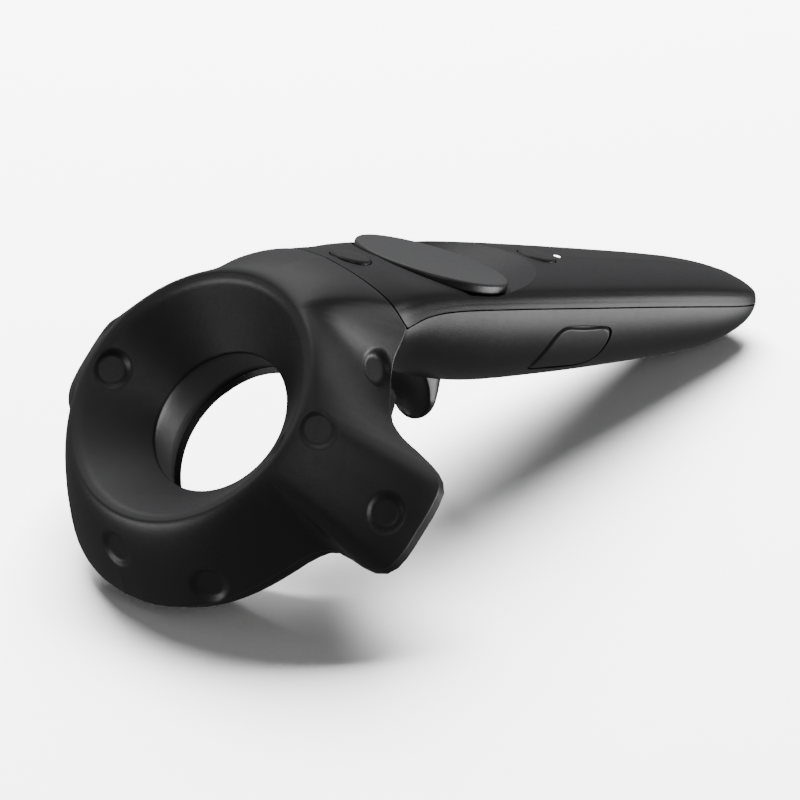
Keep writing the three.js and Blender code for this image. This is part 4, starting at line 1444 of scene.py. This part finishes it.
# ------------------------------------------------------------------- fixings
class Pattern:
    """A Geometry Nodes tree with named sizes, baked to plain mesh."""

    def __init__(self, name: str, sizes: dict[str, float]) -> None:
        """Starts a tree with one float input for each size."""
        self.name = name
        self.sizes = sizes
        self.tree = bpy.data.node_groups.new(name, "GeometryNodeTree")
        self.tree.interface.new_socket("Geometry", in_out="INPUT", socket_type="NodeSocketGeometry")
        for key in sizes:
            self.tree.interface.new_socket(key, in_out="INPUT", socket_type="NodeSocketFloat")
        self.tree.interface.new_socket("Geometry", in_out="OUTPUT", socket_type="NodeSocketGeometry")
        self.given = self.tree.nodes.new("NodeGroupInput")
        self.result = self.tree.nodes.new("NodeGroupOutput")

    def node(
        self, kind: str, settings: dict[str, object], inputs: dict[object, object], out: int | str = 0,
    ) -> bpy.types.NodeSocket:
        """Adds one node.

        Args:
            kind: the node's type.
            settings: its own properties, set first.
            inputs: values or sockets by socket name or index.
            out: the output that is returned.

        Returns:
            The chosen output.
        """
        made = self.tree.nodes.new(kind)
        for key, value in settings.items():
            setattr(made, key, value)
        for key, value in inputs.items():
            if isinstance(value, bpy.types.NodeSocket):
                self.tree.links.new(value, made.inputs[key])
            else:
                made.inputs[key].default_value = value
        return made.outputs[out]

    def join(self, *parts: bpy.types.NodeSocket) -> bpy.types.NodeSocket:
        """Joins several geometries."""
        made = self.tree.nodes.new("GeometryNodeJoinGeometry")
        for part in parts:
            self.tree.links.new(part, made.inputs[0])
        return made.outputs[0]

    def size(self, key: str) -> bpy.types.NodeSocket:
        """The socket of a named size."""
        return self.given.outputs[key]

    def bake(
        self, geometry: bpy.types.NodeSocket, finish: bpy.types.Material, seed_points: Array, place: Array,
    ) -> bpy.types.Object:
        """Realizes the geometry and sets its material.

        Args:
            geometry: what the tree makes.
            finish: its material.
            seed_points: the points that the tree starts from.
            place: matrix from the working frame to the row frame.

        Returns:
            A plain object with no modifier.
        """
        real = self.node("GeometryNodeRealizeInstances", {}, {0: geometry})
        dressed = self.node("GeometryNodeSetMaterial", {}, {"Geometry": real, "Material": finish})
        self.tree.links.new(dressed, self.result.inputs[0])
        obj = mesh_object(self.name, seed_points, [], place)
        modifier = obj.modifiers.new("pattern", "NODES")
        modifier.node_group = self.tree
        for item in self.tree.interface.items_tree:
            if item.in_out == "INPUT" and item.name in self.sizes:
                modifier[item.identifier] = float(self.sizes[item.name])
        baked(obj)
        shade(obj, 30)
        return obj


@dataclass
class Fixings:
    """The case screws and the trigger's return spring."""

    form: HandleForm = field(default_factory=HandleForm)

    def screws(self, dresser: Dresser) -> bpy.types.Object:
        """Screws with a six-lobed recess, one at each place in the underside."""
        sizes = {
            "Head radius": 1.9 * MM, "Head height": 1.4 * MM, "Shank radius": 0.95 * MM,
            "Length": 6.6 * MM, "Lobe inner radius": 0.72 * MM, "Lobe outer radius": 1.15 * MM,
        }
        p = Pattern("case_screws", sizes)
        head = self.rod(p, 40, "Head radius", "Head height")
        shank = self.rod(p, 24, "Shank radius", "Length")
        shank = p.node("GeometryNodeTransform", {}, {"Geometry": shank, "Translation": (0, 0, 3.3 * MM)})
        cut = {0: head, 1: self.lobes(p)}
        recessed = p.node("GeometryNodeMeshBoolean", {"operation": "DIFFERENCE"}, cut)
        screw = {
            "Points": p.node("GeometryNodeMeshToPoints", {}, {0: p.given.outputs[0]}),
            "Instance": p.join(recessed, shank),
            "Rotation": (-FRAMES.dip(), 0, 0),
        }
        placed = p.node("GeometryNodeInstanceOnPoints", {}, screw)
        half_head = 0.75
        heights = [self.form.under_at(x, y) + SCREW_SINK - half_head for x, y in SCREW_PLACES]
        seeds = np.column_stack([SCREW_PLACES, heights])
        return p.bake(placed, dresser.material(STEEL_FINISH), seeds, HANDLE)

    def rod(self, p: Pattern, sides: int, radius: str, length: str) -> bpy.types.NodeSocket:
        """A round rod in a pattern.

        Args:
            p: the pattern.
            sides: how many sides the rod has.
            radius: the name of the size that gives its radius.
            length: the name of the size that gives its length.

        Returns:
            The rod's geometry.
        """
        inputs = {"Vertices": sides, "Radius": p.size(radius), "Depth": p.size(length)}
        return p.node("GeometryNodeMeshCylinder", {}, inputs, "Mesh")

    def lobes(self, p: Pattern) -> bpy.types.NodeSocket:
        """The six-lobed plug that cuts the recess."""
        shape = {
            "Points": 6, "Inner Radius": p.size("Lobe inner radius"),
            "Outer Radius": p.size("Lobe outer radius"),
        }
        star = p.node("GeometryNodeCurveStar", {}, shape, "Curve")
        face = p.node("GeometryNodeFillCurve", {}, {0: star})
        walls = p.node("GeometryNodeExtrudeMesh", {}, {"Mesh": face, "Offset Scale": 2 * MM}, 0)
        under = p.node("GeometryNodeFlipFaces", {}, {0: face})
        joined = {0: p.join(walls, under), "Distance": 0.01 * MM}
        closed = p.node("GeometryNodeMergeByDistance", {}, joined)
        lowered = {"Geometry": closed, "Translation": (0, 0, -2.0 * MM)}
        return p.node("GeometryNodeTransform", {}, lowered)

    def spring(self, dresser: Dresser) -> bpy.types.Object:
        """A wound torsion spring on the trigger's axle."""
        sizes = {"Coil radius": 2.9 * MM, "Wire radius": 0.3 * MM, "Length": 2.4 * MM}
        p = Pattern("trigger_spring_coil", sizes)
        coil = p.node(
            "GeometryNodeCurveSpiral", {},
            {"Resolution": 40, "Rotations": 3.5, "Start Radius": p.size("Coil radius"),
             "End Radius": p.size("Coil radius"), "Height": p.size("Length")},
        )
        round_wire = {"Resolution": 12, "Radius": p.size("Wire radius")}
        wire = p.node("GeometryNodeCurvePrimitiveCircle", {}, round_wire, "Curve")
        along = {"Curve": coil, "Profile Curve": wire, "Fill Caps": True}
        tube = p.node("GeometryNodeCurveToMesh", {}, along)
        tube = p.node(
            "GeometryNodeTransform", {},
            {"Geometry": tube, "Translation": (-1.2 * MM, 0, 0), "Rotation": (0, math.pi / 2, 0)},
        )
        points = p.node("GeometryNodeMeshToPoints", {}, {0: p.given.outputs[0]})
        placed = p.node("GeometryNodeInstanceOnPoints", {}, {"Points": points, "Instance": tube})
        return p.bake(placed, dresser.material(STEEL_FINISH), np.array([FRAMES.pivot_in_handle]), HANDLE)

    def build(self, dresser: Dresser) -> None:
        """Makes and dresses the fixings."""
        nodes = [f"case_screw_{i + 1}" for i in range(len(SCREW_PLACES))]
        dresser.piece(self.screws(dresser), STEEL_FINISH, CASE, "steel", *nodes)
        dresser.piece(self.spring(dresser), STEEL_FINISH, CASE, "steel", "trigger_spring")


@dataclass(frozen=True)
class Insides:
    """CAD nodes whose shape stays, and what each is made of."""

    finishes: tuple[tuple[Finish, tuple[str, ...]], ...] = (
        (FRAME_FINISH, ("head_frame", "trigger_bracket", "battery_cradle")),
        (Circuit("circuit"), ("front_sensor_flex", "rear_sensor_flex", "main_board", "trackpad_board")),
        (SWITCH_FINISH, ("trackpad_switch", "menu_switch", "system_switch", "left_grip_switch",
                         "right_grip_switch", "trigger_switch")),
        (STEEL_FINISH, ("trigger_axle", "vibration_motor", "charging_socket", "lanyard_bar")),
        (FOIL_FINISH, ("battery",)),
    )

    def dress(self, dresser: Dresser) -> None:
        """Gives each node its material."""
        for finish, nodes in self.finishes:
            for name in nodes:
                dresser.node(name, finish)
            LOG.info("%s on %s", finish.name, ", ".join(nodes))


# ----------------------------------------------------------------------- stage
@dataclass
class Studio:
    """The floor, the lights and the camera."""

    azimuth: float = 45.4
    elevation: float = 28.1
    distance: float = 1.4337
    lens: float = 257.9
    off_right: float = -0.00808
    off_up: float = -0.03527
    surround: float = 0.16

    def axes(self) -> tuple[Vector, Vector, Vector]:
        """Right, up and backwards of the camera."""
        a, e = math.radians(self.azimuth), math.radians(self.elevation)
        back = Vector((math.sin(a) * math.cos(e), -math.cos(a) * math.cos(e), math.sin(e)))
        right = Vector((math.cos(a), math.sin(a), 0))
        return right, back.cross(right), back

    def camera(self) -> None:
        """Places the camera level, square to its view."""
        right, up, back = self.axes()
        pad = Vector(HANDLE[:3, 3]) * MM
        data = bpy.data.cameras.new("camera")
        data.lens = self.lens
        data.sensor_width = 36
        data.clip_end = 20
        obj = bpy.data.objects.new("camera", data)
        turn = Matrix((right, up, back)).transposed().to_4x4()
        place = pad + back * self.distance + right * self.off_right + up * self.off_up
        obj.matrix_world = Matrix.Translation(place) @ turn
        bpy.context.scene.collection.objects.link(obj)
        bpy.context.scene.camera = obj

    def lamp(
        self, name: str, at: Sequence[float], aim: Sequence[float], size: tuple[float, float],
        power: float, mirrored: bool = True,
    ) -> None:
        """A rectangular soft light.

        Args:
            name: the light's name.
            at: its place from the aim in the row frame, in metres.
            aim: the point that it faces.
            size: its width and height in metres.
            power: its output in watts.
            mirrored: False if it leaves no highlights.
        """
        target = Vector(aim)
        place = target + Vector(at)
        data = bpy.data.lights.new(name, "AREA")
        data.shape = "RECTANGLE"
        data.size, data.size_y = size
        data.energy = power
        obj = bpy.data.objects.new(name, data)
        turn = Vector(at).to_track_quat("Z", "Y").to_matrix().to_4x4()
        obj.matrix_world = Matrix.Translation(place) @ turn
        obj.visible_glossy = mirrored
        bpy.context.scene.collection.objects.link(obj)

    def floor(self) -> None:
        """A pale, level floor."""
        s = Shader("floor")
        haze = s.noise(3, 2.0, 0.5)
        s.feed(Base_Color=s.blend(haze, (0.86, 0.86, 0.86), (0.88, 0.88, 0.88)), Roughness=haze * 0.05 + 0.7)
        z = CAD_BOX[0][2]
        corners = [(-8, -8, z), (8, -8, z), (8, 8, z), (-8, 8, z)]
        mesh = bpy.data.meshes.new("floor")
        mesh.from_pydata(corners, [], [(0, 1, 2, 3)])
        obj = bpy.data.objects.new("floor", mesh)
        bpy.context.scene.collection.objects.link(obj)
        mesh.materials.append(s.material)
        obj.visible_glossy = False
        obj.visible_diffuse = False
        obj.visible_shadow = False

    def world(self) -> None:
        """An even, dim surround."""
        world = bpy.data.worlds.new("surround")
        world.use_nodes = True
        back = world.node_tree.nodes["Background"]
        back.inputs[0].default_value = (1, 1, 1, 1)
        back.inputs[1].default_value = self.surround
        bpy.context.scene.world = world

    def build(self) -> None:
        """Makes the stage."""
        self.floor()
        self.world()
        above = (0, 0, 0.03)
        self.lamp("back_softbox", (-0.75, 0.6, 1.25), above, (1.3, 1.3), 7)
        self.lamp("floor_light", (-0.75, 0.6, 1.25), above, (1.3, 1.3), 300, False)
        self.lamp("side_card", (0.5, 0.62, -0.26), above, (0.6, 0.42), 5.2)
        self.lamp("front_fill", (1.0, -0.5, 0.8), above, (0.6, 0.6), 1.6)
        self.lamp("low_front_card", (-0.35, -1.0, 0.02), above, (0.8, 0.3), 4.5)
        self.camera()


def main() -> None:
    """Builds the controller, piece by piece, and its stage."""
    logging.basicConfig(level=logging.INFO, format="%(name)s: %(message)s")
    dresser = Dresser()
    form = HandleForm()
    studio = Studio()
    studio.build()
    Head(form).build(dresser)
    Handle(form).build(dresser)
    for side in (-1, 1):
        GripButton(side, form).build(dresser)
    TopControls(form).build(dresser)
    Trigger().build(dresser)
    Fixings(form=form).build(dresser)
    Insides().dress(dresser)


if __name__ == "__main__":
    main()
